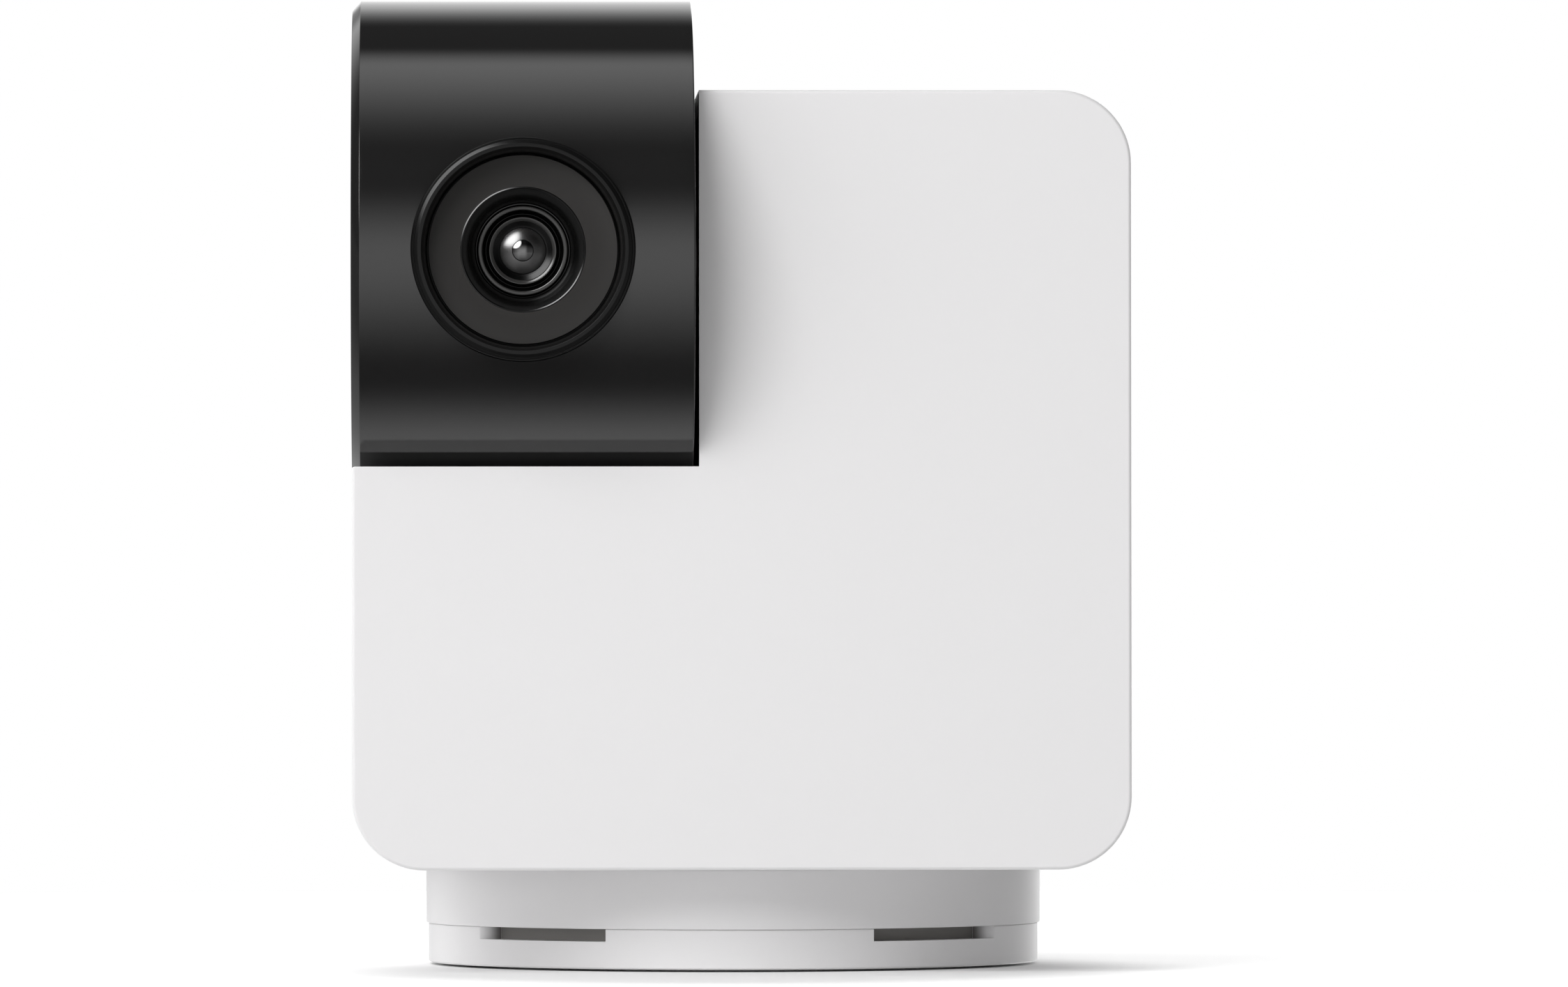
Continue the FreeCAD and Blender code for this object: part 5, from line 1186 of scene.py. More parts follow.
@dataclass
class RoundBase:
    """The base that stands still: two low tiers on a rubber ring.

    Radii are measured from the pan axis and levels upwards from the floor. Each corner of a section has a
    radius, a level and a rounding.
    """

    shop: Workshop
    segments: int = 288
    neck_radius: float = 26.4
    disc_radius: float = 26.2
    inner_radius: float = 24.4
    disc_low: float = 0.01
    seam: float = 3.37
    top: float = 8.2
    lip: float = 0.2
    lip_width: float = 1.2
    roof_low: float = 7.0
    floor_low: float = 0.3
    floor_top: float = 1.5
    hub_radius: float = 9.0
    hub_bore: float = 5.5
    hub_top: float = 11.2
    screw_ring: float = 20.0
    screw_angles: tuple[float, ...] = (30.0, 150.0, 210.0, 330.0)
    screw_length: float = 4.6
    boss_radius: float = 2.8
    boss_low: float = 2.0
    seat_radius: float = 3.1
    seat_span: Span = (1.2, 2.0)
    pilot_radius: float = 1.0
    pilot_span: Span = (1.0, 6.3)
    head_hole: float = 2.0
    head_hole_top: float = 1.4
    shank_hole: float = 1.1
    slot_low: float = 2.3
    slot_angles: Span = (25.5, 55.8)
    runout_back: float = 0.9
    runout_reach: float = 2.3
    screen_low: float = 1.9
    screen_lap: float = 2.0
    port_z: float = 5.4
    port_size: Spot = (8.94, 3.16)
    port_gap: float = 0.15
    port_flare: float = 0.6
    port_span: Span = (22.0, 28.0)
    flare_span: Span = (26.05, 27.2)
    inlet_span: Span = (18.5, 25.9)
    groove: Span = (22.5, 25.1)
    groove_top: float = 0.9
    foot: Span = (22.6, 25.0)
    foot_low: float = 0.12
    rib: float = 0.155
    insert_radius: float = 4.2
    insert_bore: float = 3.15
    insert_top: float = 4.1
    insert_seat: float = 6.0
    insert_roof: float = 4.4
    thread_pitch: float = 1.27

    def screw_spots(self) -> list[Spot]:
        """Where the four screws of the base stand."""
        angles = [math.radians(angle) for angle in self.screw_angles]
        return [(self.screw_ring * math.cos(angle), self.screw_ring * math.sin(angle)) for angle in angles]

    def bars(self, radius: float, start: float, end: float) -> list[Piece]:
        """A bar at each screw, between two levels."""
        return [rod(Axis.Z, (x, y, 0), radius, start, end) for x, y in self.screw_spots()]

    def port_outline(self, grow: float) -> list[Spot]:
        """The inlet's outline, grown by a gap or shrunk by a wall."""
        width, height = (size + 2 * grow for size in self.port_size)
        return rounded_outline(width, height, 0.45 * height, (0, self.port_z), 10)

    def housing(self) -> None:
        """The upper tier with the pan hub."""
        lip_top, lip_radius = self.top + self.lip, self.neck_radius - self.lip_width
        corners = [
            (self.inner_radius, self.seam, 0),
            (self.neck_radius, self.seam, 0.1),
            (self.neck_radius, lip_top, 0.12),
            (lip_radius, lip_top, 0.1),
            (lip_radius - 0.1, self.top, 0),
            (self.hub_radius, self.top, 0),
            (self.hub_radius, self.hub_top, 0.15),
            (self.hub_bore, self.hub_top, 0.15),
            (self.hub_bore, self.roof_low, 0),
            (self.inner_radius, self.roof_low, 0.3),
        ]
        piece = turn("upper_tier", round_profile(corners), segments=self.segments)
        carve(piece, self.bars(self.boss_radius, self.boss_low, self.roof_low + 0.4), Way.JOIN)
        narrow, wide = (self.port_outline(self.port_gap + grow) for grow in (0, self.port_flare))
        tools = self.bars(self.pilot_radius, *self.pilot_span)
        tools.append(loft("mouth", Axis.Y, list(zip((narrow, narrow), self.port_span))))
        tools.append(loft("flare", Axis.Y, list(zip((narrow, wide), self.flare_span))))
        carve(piece, tools)
        self.shop.fit(piece, [WHITE], Part.BASE, "base_housing")

    def slot_tool(self, side: int, end: int) -> Piece:
        """What cuts one slot: square at its inner end, and running out along the wall at its outer end.

        Args:
            side: -1 for a slot on the left and 1 for one on the right.
            end: -1 for a slot at the front and 1 for one at the rear.

        Returns:
            The tool.
        """
        first, last = self.slot_angles
        within, skin, beyond = self.inner_radius * 0.97, self.disc_radius * 1.003, self.disc_radius * 1.05
        outline = [(beyond, first), (within, first)]
        steps = 14
        for step in range(steps + 1):
            share = step / steps
            ease = share * share * (3 - 2 * share)
            angle = last - self.runout_back + self.runout_reach * share**3
            outline.append((within + (skin - within) * ease, angle))
        outline += [(beyond, outline[-1][1]), (beyond, (first + last) / 2)]
        points = [
            (side * radius * math.sin(math.radians(angle)), end * radius * math.cos(math.radians(angle)))
            for radius, angle in outline
        ]
        return loft("slot", Axis.Z, [(points, self.slot_low), (points, self.seam + 1)])

    def in_slot(self, middle: Vector, normal: Vector) -> bool:
        """Whether a face is on a slot's upright walls, which carry the painted shade.

        Args:
            middle: The face's middle in millimetres.
            normal: The face's normal.

        Returns:
            True for a face between the two skins of the lower tier.
        """
        skin, steep = 0.03, 0.5
        within = self.inner_radius + skin < math.hypot(middle.x, middle.y) < self.disc_radius - 2 * skin
        level = self.slot_low + 0.01 < middle.z < self.seam - 0.1
        return within and level and abs(normal.z) < steep

    def cover(self) -> None:
        """The lower tier with its four slots, the foot's groove and the sunk screw seats."""
        inner, outer = self.groove
        chamfer = 0.12
        corners = [
            (self.insert_radius, self.floor_low, 0.12),
            (inner, self.floor_low, 0.1),
            (inner, self.groove_top, 0),
            (outer, self.groove_top, 0),
            (outer, self.disc_low, 0.1),
            (self.disc_radius - chamfer, self.disc_low, 0.08),
            (self.disc_radius, self.disc_low + chamfer, 0.08),
            (self.disc_radius, self.seam, 0.12),
            (self.inner_radius, self.seam, 0.1),
            (self.inner_radius, self.floor_top, 0.3),
            (self.insert_seat, self.floor_top, 0.3),
            (self.insert_seat, self.insert_roof, 0.2),
            (0, self.insert_roof, 0),
            (0, self.insert_top, 0),
            (self.insert_radius, self.insert_top, 0),
        ]
        piece = turn("lower_tier", round_profile(corners), segments=self.segments)
        carve(piece, self.bars(self.seat_radius, *self.seat_span), Way.JOIN)
        tools = [self.slot_tool(side, end) for side in (-1, 1) for end in (-1, 1)]
        tools += self.bars(self.head_hole, -1.0, self.head_hole_top)
        tools += self.bars(self.shank_hole, 1.0, 3.0)
        carve(piece, tools)
        # The slots' walls take the second finish, whose painted shade darkens deeper into the slot.
        self.shop.fit(piece, [WHITE, RUNOUT_SHADE], Part.BASE, "base_cover")
        self.shop.paint_faces(piece, self.in_slot)

    def vent_screens(self) -> None:
        """The woven strips that close the slots from inside."""
        first, last = self.slot_angles
        inner, outer = self.inner_radius - 0.25, self.inner_radius - 0.02
        section = ((inner, self.screen_low), (outer, self.screen_low), (outer, self.seam), (inner, self.seam))
        corners, steps = len(section), 24
        points: list[Vector] = []
        faces: list[Sequence[int]] = []
        for side, end in ((-1, -1), (-1, 1), (1, -1), (1, 1)):
            start = len(points)
            for step in range(steps + 1):
                share = step / steps
                angle = math.radians(first - self.screen_lap + (last - first + 2 * self.screen_lap) * share)
                x, y = side * math.sin(angle), end * math.cos(angle)
                points += [Vector((x * radius, y * radius, level)) for radius, level in section]
            for row in range(start, start + corners * steps, corners):
                for corner in range(corners):
                    after = (corner + 1) % corners
                    faces.append([row + corner, row + after, row + corners + after, row + corners + corner])
            for row in (start, start + corners * steps):
                faces.append(range(row, row + corners))
        self.shop.fit(new_piece("vent_screens", points, faces), [VENT], Part.BASE)

    def foot_ring(self) -> None:
        """The rubber ring, with four ribs that grip."""
        inner, outer = self.foot
        slope = 0.15
        corners = [
            (inner, self.floor_low, 0.1),
            (inner + slope, self.foot_low, 0.1),
            (outer - slope, self.foot_low, 0.1),
            (outer, self.floor_low, 0.1),
            (outer, self.groove_top, 0),
            (inner, self.groove_top, 0),
        ]
        ring = turn("foot_pad", round_profile(corners), segments=240)
        self.shop.fit(ring, [RUBBER], Part.BASE, "foot_ring")
        lengths = {"First Radius": 23.05, "Spacing": 0.5, "Bead": self.rib}
        ribs = self.shop.grow("foot_ribs", self.shop.rules.beads, RUBBER, lengths, {"Count": 4, "Sides": 12})
        ribs.data.transform(Matrix.Translation((0, 0, self.rib * MM)))
        self.shop.fit(ribs, [RUBBER], Part.BASE)

    def insert(self) -> None:
        """The brass insert with its thread."""
        corners = [
            (self.insert_bore, self.floor_low, 0.2),
            (self.insert_radius, self.floor_low, 0.1),
            (self.insert_radius, self.insert_top, 0.1),
            (self.insert_bore, self.insert_top, 0.1),
        ]
        piece = turn("threaded_insert", round_profile(corners), segments=96)
        self.shop.fit(piece, [BRASS], Part.BASE, "tripod_insert")
        lengths = {"Radius": self.insert_bore - 0.1, "Pitch": self.thread_pitch, "Length": 3.4, "Ridge": 0.42}
        thread = self.shop.grow("insert_thread", self.shop.rules.thread, BRASS, lengths)
        thread.data.transform(Matrix.Translation((0, 0, (self.floor_low + 0.2) * MM)))
        self.shop.fit(thread, [BRASS], Part.BASE)

    def screws(self) -> None:
        """The four screws under the base."""
        spots = [(x, y, self.floor_low + 0.1) for x, y in self.screw_spots()]
        piece = self.shop.repeat("base_cap_screws", cap_screw(self.screw_length), spots)
        self.shop.fit(piece, [SCREW], Part.BASE, "base_screws")

    def inlet(self) -> None:
        """The power inlet's folded shell, its tongue and the contacts on it."""
        start, rear = self.inlet_span
        end_wall = start + 0.3
        outer, inner = self.port_outline(0), self.port_outline(-0.3)
        loops = [
            (outer, start),
            (outer, rear - 0.08),
            (self.port_outline(-0.06), rear),
            (self.port_outline(-0.22), rear),
            (inner, rear - 0.12),
            (inner, end_wall),
        ]
        self.shop.fit(loft("inlet_shell", Axis.Y, loops), [SHEET], Part.BASE, "power_socket_shell")
        tip = rounded_outline(6.5, 0.5, 0.2, (0, self.port_z), 4)
        full = rounded_outline(6.7, 0.7, 0.2, (0, self.port_z), 4)
        tongue = loft("inlet_tongue", Axis.Y, [(full, end_wall), (full, rear - 0.7), (tip, rear - 0.5)])
        self.shop.fit(tongue, [CHIP], Part.BASE, "power_socket_tongue")
        count, pitch, length, proud = 12, 0.5, 2.6, 0.35
        contact = rounded_outline(0.26, 0.06, 0.02, (0, 0), 2)
        strip = loft("contact", Axis.Y, [(contact, -length), (contact, 0)])
        places = [pitch * (index - (count - 1) / 2) for index in range(count)]
        spots = [(x, rear - 0.9, self.port_z + side * proud) for x in places for side in (-1, 1)]
        self.shop.fit(self.shop.repeat("inlet_contacts", strip, spots), [BRASS], Part.BASE)

    def build(self) -> None:
        """Builds the whole base."""
        self.housing()
        self.cover()
        self.vent_screens()
        self.foot_ring()
        self.insert()
        self.screws()
        self.inlet()


@dataclass
class CubeBody:
    """The white cube that pans: its shell, its rear wall and what shows on them.

    Spots are across and up as seen from the front, and the card slot's is along and up its side. Spans run
    along Y, from the front to the rear, but the pocket's and the card slot's along X and the hub's along Z.
    """

    shop: Workshop
    side: float = 65.0
    corner: float = 6.1
    low: float = 8.5
    wall: float = 2.0
    front: float = -32.5
    rear: float = 32.5
    split: float = 30.5
    front_edge: float = 0.3
    rear_edge: float = 0.9
    bevel_depth: float = 0.12
    bevel_length: float = 0.14
    pocket_radius: float = 22.4
    pocket_span: Span = (-40.0, -3.55)
    hub_hole: float = 11.0
    hub_span: Span = (5.0, 11.0)
    card: Spot = (22.15, 50.0)
    card_size: Spot = (1.3, 11.6)
    card_corner: float = 0.39
    card_flare: float = 0.4
    card_span: Span = (29.0, 34.0)
    screw_inset: float = 5.3
    screw_length: float = 8.7
    boss_radius: float = 3.5
    boss_span: Span = (18.1, 28.5)
    pilot_radius: float = 1.0
    pilot_span: Span = (22.2, 29.0)
    head_hole: float = 2.0
    shank_hole: float = 1.1
    seat_span: Span = (31.2, 33.0)
    shank_span: Span = (28.0, 33.0)
    bore_span: Span = (20.0, 40.0)
    grille_z: float = 24.0
    grille_pitch: float = 2.6
    drill_span: Span = (29.0, 33.0)
    button: Spot = (-16.0, 53.0)
    button_radius: float = 1.5
    microphone: Spot = (-16.0, 43.0)

    @property
    def middle(self) -> Spot:
        """The centre of the cube's outline."""
        return (0.0, self.low + self.side / 2)

    @property
    def screw_spots(self) -> list[Spot]:
        """Where the rear screws are."""
        reach = self.side / 2 - self.screw_inset
        return [(across * reach, self.middle[1] + up * reach) for across in (-1, 1) for up in (-1, 1)]

    def outline(self, inset: float) -> list[Spot]:
        """The cube's outline seen from the front, moved inwards."""
        size = self.side - 2 * inset
        return rounded_outline(size, size, max(0.2, self.corner - inset), self.middle, 24)

    def rounded_end(self, level: float, radius: float, towards: int, steps: int) -> list[Loop]:
        """The outlines of a rounded edge, from the flat end inwards along the side.

        Args:
            level: Where the flat end is.
            radius: The radius of the rounding.
            towards: 1 where the side runs towards +Y from there, and -1 otherwise.
            steps: How many pieces the rounding is divided into.

        Returns:
            The outlines with their levels.
        """
        loops: list[Loop] = []
        for step in range(steps + 1):
            angle = math.pi / 2 * step / steps
            inset = radius * (1 - math.sin(angle))
            loops.append((self.outline(inset), level + towards * radius * (1 - math.cos(angle))))
        return loops

    @staticmethod
    def bar(spot: Spot, radius: float, start: float, end: float, segments: int = 64) -> Piece:
        """A bar along Y at a spot."""
        return rod(Axis.Y, (spot[0], 0, spot[1]), radius, start, end, segments)

    def card_outline(self, grow: float) -> list[Spot]:
        """The card slot's outline, grown by a flare."""
        width, height = (size + 2 * grow for size in self.card_size)
        return rounded_outline(width, height, self.card_corner + grow, self.card, 6)

    def shell(self) -> None:
        """The front and four sides in one piece, with the head's round pocket cut out of one corner."""
        loops = self.rounded_end(self.front, self.front_edge, 1, 6)
        loops += [
            (self.outline(0), self.split - self.bevel_length),
            (self.outline(self.bevel_depth), self.split),
            (self.outline(self.wall), self.split),
            (self.outline(self.wall), self.front + self.wall),
        ]
        piece = loft("cube_shell", Axis.Y, loops)
        bosses = [self.bar(spot, self.boss_radius, *self.boss_span) for spot in self.screw_spots]
        carve(piece, bosses, Way.JOIN)
        right = self.side / 2
        tools = [rod(Axis.X, (0, *TILT_AXIS), self.pocket_radius, *self.pocket_span, 360)]
        tools.append(rod(Axis.Z, (0, 0, 0), self.hub_hole, *self.hub_span, 192))
        narrow, wide = self.card_outline(0), self.card_outline(self.card_flare)
        tools.append(loft("card_mouth", Axis.X, [(narrow, level) for level in self.card_span]))
        tools.append(loft("card_flare", Axis.X, [(narrow, right - self.card_flare), (wide, right + 0.1)]))
        tools += [self.bar(spot, self.pilot_radius, *self.pilot_span, 32) for spot in self.screw_spots]
        carve(piece, tools)
        self.shop.fit(piece, [WHITE], Part.BODY, "front_housing")

    def hole(self, spot: Spot, radius: float, wide: float, span: Span, segments: int) -> list[Piece]:
        """What cuts a hole through the rear wall.

        Args:
            spot: Where the hole is.
            radius: Its radius.
            wide: The radius that its mouth widens to.
            span: Where the widening starts and ends.
            segments: How many steps go round.

        Returns:
            The tools for the hole and for its mouth.
        """
        start, end = span
        mouth = [(0, start), (radius, start), (wide, end), (0, end)]
        bore = self.bar(spot, radius, *self.bore_span, segments)
        return [bore, turn("mouth", mouth, Axis.Y, (spot[0], 0, spot[1]), segments, False)]

    def back(self) -> None:
        """The rear wall with the speaker's grille, the sunk screws and the small holes."""
        bevel = self.outline(self.bevel_depth)
        loops = [(bevel, self.split), (self.outline(0), self.split + self.bevel_length)]
        loops += reversed(self.rounded_end(self.rear, self.rear_edge, -1, 10))
        piece = loft("rear_wall", Axis.Y, loops)
        outer, inner = self.outline(self.wall + 0.1), self.outline(self.wall + 1.3)
        low, high = self.split - self.wall, self.split + 0.3
        lip = [(outer, high), (outer, low), (inner, low), (inner, high)]
        carve(piece, [loft("lip", Axis.Y, lip, ring=True)], Way.JOIN)
        tools = self.hole(self.button, self.button_radius + 0.15, 2.15, (31.9, 32.6), 64)
        tools += self.hole(self.microphone, 0.6, 0.95, (32.3, 32.65), 32)
        for spot in self.screw_spots:
            tools.append(self.bar(spot, self.head_hole, *self.seat_span))
            tools.append(self.bar(spot, self.shank_hole, *self.shank_span, 32))
        carve(piece, tools)
        (start, end), narrow, wide = self.drill_span, 0.7, 0.9
        profile = [(0, start), (narrow, start), (narrow, 32.34), (wide, 32.54), (wide, end), (0, end)]
        drill = turn("drill", profile, Axis.Y, segments=24, closed=False)
        lengths = {"Pitch": self.grille_pitch, "Middle Z": self.grille_z}
        others = {"Rings": 3, "Thing": drill}
        self.shop.grow("rear_wall", self.shop.rules.perforations, WHITE, lengths, others, piece)
        bpy.data.objects.remove(drill)
        self.shop.fit(piece, [WHITE], Part.BODY, "rear_cover")

    def grille_cloth(self) -> None:
        """The woven wire behind the grille."""
        lengths = {
            "Radius": 9.3,
            "Pitch": 0.41,
            "Wire": 0.08,
            "Level": self.split - 0.3,
            "Middle Z": self.grille_z,
        }
        piece = self.shop.grow("grille_weave", self.shop.rules.weave, SPEAKER, lengths, {"Count": 45})
        self.shop.fit(piece, [SPEAKER], Part.BODY)

    def screws(self) -> None:
        """The four screws of the rear wall."""
        spots = [(x, self.rear - 0.3, z) for x, z in self.screw_spots]
        screw = cap_screw(self.screw_length)
        piece = self.shop.repeat("rear_cap_screws", screw, spots, (math.pi / 2, 0, 0))
        self.shop.fit(piece, [SCREW], Part.BODY, "rear_cover_screws")

    def key(self) -> None:
        """The reset key, with a dished end."""
        radius, flange, end = self.button_radius, 2.4, self.rear - 0.2
        corners = [
            (0, 25.1, 0),
            (radius, 25.1, 0.1),
            (radius, 29.4, 0),
            (flange, 29.4, 0.1),
            (flange, 30.2, 0.1),
            (radius, 30.2, 0),
            (radius, end, 0.25),
            (radius - 0.4, end, 0.15),
            (0, end - 0.18, 0),
        ]
        x, z = self.button
        piece = turn("reset_key_cap", round_profile(corners, False), Axis.Y, (x, 0, z), 64, False)
        self.shop.fit(piece, [WHITE], Part.KEY, "reset_button")

    def build(self) -> None:
        """Builds the cube."""
        self.shell()
        self.back()
        self.grille_cloth()
        self.screws()
        self.key()


@dataclass
class CameraHead:
    """The black drum that tilts, with its two end caps.

    Levels are along X, where the left is the outer end.
    """

    shop: Workshop
    segments: int = 360
    radius: float = 21.6
    bore: float = 19.8
    left: float = -32.5
    right: float = -4.0
    cap: float = 1.2
    spigot_gap: float = 0.05
    spigot_wall: float = 1.0
    spigot: float = 2.0
    lens_hole: float = 9.3
    bevel: Spot = (0.7, 0.75)
    trunnion: float = 6.0
    trunnion_bore: float = 3.2
    trunnion_end: float = 4.9
    gear_right: float = 3.5
    clip_right: float = 4.1
    clip_groove: float = 0.5
    screw_inset: float = 2.3
    screw_angles: tuple[float, ...] = (-85.0, -25.0, 35.0)
    centre: Place = (0.0, *TILT_AXIS)

    def drum(self) -> None:
        """The drum's wall, with the lens's opening."""
        left, right = self.left + self.cap, self.right - self.cap
        lengths = {
            "Radius": self.radius,
            "Bore": self.bore,
            "Length": right - left,
            "Middle": (left + right) / 2,
            "Axis Y": TILT_AXIS[0],
            "Axis Z": TILT_AXIS[1],
            "Cross Bore": self.lens_hole,
            "Cross Middle": LENS_AXIS[0],
        }
        piece = self.shop.grow("head_drum", self.shop.rules.bored_tube, GLOSS, lengths)
        self.shop.fit(piece, [GLOSS], Part.HEAD, "head_barrel")

    def left_cap(self) -> None:
        """The outer end cap, with a bevel round its face."""
        inside = self.left + self.cap
        wide, deep = self.bevel
        outer = self.bore - self.spigot_gap
        inner = outer - self.spigot_wall
        corners = [
            (0, self.left, 0),
            (self.radius - deep, self.left, 0.1),
            (self.radius, self.left + wide, 0.05),
            (self.radius, inside, 0),
            (outer, inside, 0),
            (outer, inside + self.spigot, 0.1),
            (inner, inside + self.spigot, 0.1),
            (inner, inside, 0.2),
            (0, inside, 0),
        ]
        profile = round_profile(corners, False)
        piece = turn("head_outer_cap", profile, Axis.X, self.centre, self.segments, False)
        self.shop.fit(piece, [GLOSS], Part.HEAD, "head_left_cap")

    def right_cap(self) -> None:
        """The inner end cap with its hollow trunnion."""
        inside = self.right - self.cap
        outer = self.bore - self.spigot_gap
        inner = outer - self.spigot_wall
        grip = self.trunnion - self.clip_groove
        corners = [
            (inner, inside - self.spigot, 0.1),
            (inner, inside, 0.2),
            (self.trunnion_bore, inside, 0.2),
            (self.trunnion_bore, self.trunnion_end, 0.1),
            (self.trunnion, self.trunnion_end, 0.2),
            (self.trunnion, self.clip_right, 0),
            (grip, self.clip_right, 0),
            (grip, self.gear_right, 0),
            (self.trunnion, self.gear_right, 0),
            (self.trunnion, self.right, 0.3),
            (self.radius, self.right, 0.12),
            (self.radius, inside, 0),
            (outer, inside, 0),
            (outer, inside - self.spigot, 0.1),
        ]
        piece = turn("head_inner_cap", round_profile(corners), Axis.X, self.centre, self.segments)
        head_hole, head_depth, pilot_hole = 1.9, 0.5, 1.0
        reach = self.bore - self.screw_inset
        tools = []
        for angle in self.screw_angles:
            y = TILT_AXIS[0] + reach * math.cos(math.radians(angle))
            z = TILT_AXIS[1] + reach * math.sin(math.radians(angle))
            tools.append(rod(Axis.X, (0, y, z), head_hole, self.right - head_depth, self.right + 1.0, 48))
            tools.append(rod(Axis.X, (0, y, z), pilot_hole, inside - 1.0, self.right, 32))
        carve(piece, tools)
        self.shop.fit(piece, [GLOSS], Part.HEAD, "head_right_cap")

    def build(self) -> None:
        """Builds the head's shells."""
        self.drum()
        self.left_cap()
        self.right_cap()


@dataclass
class LensUnit:
    """The lens in the head's front: its ring, the flat dark annulus, the stepped barrel and the glass.

    Radii are measured from the lens's axis, and levels along Y, where the front is the nearer end.
    """

    shop: Workshop
    centre: Place = LENS_AXIS
    front: float = -41.0
    bezel_front: float = -38.4
    bezel_inner: float = 5.22
    barrel_front: float = -35.7
    barrel_bore: float = 1.9
    shelf: float = -35.2
    well_edge: float = 2.47
    ridge: float = 2.62
    ridge_spacing: float = 0.92
    ridge_bead: float = 0.16
    dome_height: float = 0.48
    dome_hole: float = 0.9
    bead: float = 0.84
    bead_height: float = 0.17

    def turn(self, name: str, corners: Sequence[Corner]) -> Piece:
        """Turns a closed profile about the lens's axis."""
        return turn(name, round_profile(corners, steps=8), Axis.Y, self.centre, 256)

    def reach(self, place: Vector) -> float:
        """How far a place is from the lens's axis."""
        return math.hypot(place.x - self.centre[0], place.z - self.centre[2])

    def ring(self) -> None:
        """The round-nosed ring, with a fine step round its outer edge."""
        front = self.front
        corners = [
            (7.95, -35.82, 0),
            (7.95, -38.3, 0.3),
            (8.22, front + 0.62, 0.2),
            (8.43, front + 0.01, 0.03),
            (8.74, front + 0.03, 0.2),
            (9.02, front + 0.16, 0.06),
            (9.06, front + 0.36, 0.02),
            (9.12, front + 0.36, 0.02),
            (9.14, front + 0.26, 0.02),
            (9.25, front + 0.34, 0.08),
            (9.25, -35.62, 0),
            (10.6, -35.62, 0.1),
            (10.6, -34.52, 0.1),
            (6.3, -34.52, 0.1),
            (6.3, -35.82, 0.1),
        ]
        self.shop.fit(self.turn("lens_nose_ring", corners), [RING], Part.HEAD, "lens_ring")

    def bezel(self) -> None:
        """The flat dark annulus with the cone that leads down to the lens."""
        front = self.bezel_front
        corners = [
            (self.bezel_inner - 0.2, front + 0.015, 0.02),
            (self.bezel_inner - 0.1, front - 0.035, 0.02),
            (self.bezel_inner, front, 0.02),
            (7.85, front, 0.08),
            (7.85, front + 0.8, 0),
            (5.8, front + 0.8, 0.1),
            (5.0, self.barrel_front - 0.15, 0.1),
            (3.86, self.barrel_front - 0.15, 0.05),
        ]
        piece = self.turn("lens_annulus", corners)
        # The annulus's finish paints it lighter towards its rim, against the ring's shadow.
        self.shop.fit(piece, [ANNULUS, BAFFLE], Part.HEAD, "lens_bezel")
        self.shop.paint_faces(
            piece, lambda middle, _: middle.y >= front + 0.01 or self.reach(middle) <= self.bezel_inner
        )

    def barrel(self) -> None:
        """The stepped barrel about the glass."""
        shelf, step = self.shelf, self.barrel_front - 0.1
        corners = [
            (6.0, -35.6, 0.1),
            (6.0, -27.1, 0.1),
            (2.8, -27.1, 0.1),
            (2.8, -29.6, 0),
            (1.5, -30.6, 0),
            (1.5, -34.3, 0),
            (self.barrel_bore, -34.3, 0),
            (self.barrel_bore + 0.02, shelf + 0.1, 0.02),
            (2.08, shelf + 0.06, 0.3),
            (2.46, shelf - 0.1, 0.05),
            (2.76, shelf - 0.2, 0.03),
            (3.06, shelf + 0.45, 0.03),
            (3.34, shelf - 0.2, 0.03),
            (3.42, step, 0.04),
            (3.66, step, 0.04),
            (3.84, shelf - 0.1, 0),
        ]
        piece = self.turn("lens_barrel_steps", corners)
        self.shop.fit(piece, [BAFFLE, WELL], Part.HEAD, "lens_barrel")
        self.shop.paint_faces(piece, lambda middle, _: self.reach(middle) < self.well_edge)

    def ridges(self) -> None:
        """The two flattened ridges round the glass, one on the shelf and one on the step outside it."""
        lengths = {"First Radius": self.ridge, "Spacing": self.ridge_spacing, "Bead": self.ridge_bead}
        others = {"Count": 2, "Sides": 20}
        beads = self.shop.grow("lens_baffle_rings", self.shop.rules.beads, RIDGE, lengths, others)
        beads.data.transform(Matrix.Rotation(math.pi / 2, 4, "X"))
        between, flatness, slope = self.ridge + self.ridge_spacing / 2, 0.3, 0.4
        on_shelf, on_step = self.shelf - 0.18, self.barrel_front - 0.12
        for vertex in beads.data.vertices:
            radius = math.hypot(vertex.co.x, vertex.co.z) / MM
            level = on_step if radius > between else on_shelf - slope * (radius - self.ridge)
            vertex.co.y = vertex.co.y * flatness + level * MM
        beads.data.transform(Matrix.Translation(Vector(self.centre) * MM))
        self.shop.fit(beads, [RIDGE], Part.HEAD)

    @staticmethod
    def dome(radius: float, height: float, tip: float, hole: float) -> list[Spot]:
        """The profile of a dome whose tip points to the front.

        Args:
            radius: The radius of its rim.
            height: How far its tip stands before its rim.
            tip: Where its tip is.
            hole: The radius of the hole round its tip.

        Returns:
            The profile's points, from the tip or the hole to the rim.
        """
        ball = (radius * radius + height * height) / (2 * height)
        first, last = math.asin(hole / ball), math.asin(radius / ball)
        steps = 24
        angles = [first + (last - first) * step / steps for step in range(steps + 1)]
        return [(ball * math.sin(angle), tip + ball * (1 - math.cos(angle))) for angle in angles]

    def glass(self) -> None:
        """The domed front element and the clear bead at its middle."""
        bore, hole = self.barrel_bore, self.dome_hole
        profile = self.dome(bore, self.dome_height, self.shelf - self.dome_height, hole)
        edge, floor, well = profile[0][1], self.shelf + 0.8, 0.6
        profile += [(bore, floor), (well, floor), (well, edge + 0.3), (hole - 0.03, edge + 0.12)]
        element = turn("front_element", profile, Axis.Y, self.centre, 128)
        self.shop.fit(element, [DOME], Part.HEAD, "front_lens")
        tip = edge - 0.24
        back = tip + self.bead_height + 0.12
        profile = self.dome(self.bead, self.bead_height, tip, 0.0) + [(0.62, back), (0.0, back)]
        piece = turn("pupil_bead", profile, Axis.Y, self.centre, 96, False)
        self.shop.fit(piece, [PUPIL], Part.HEAD)

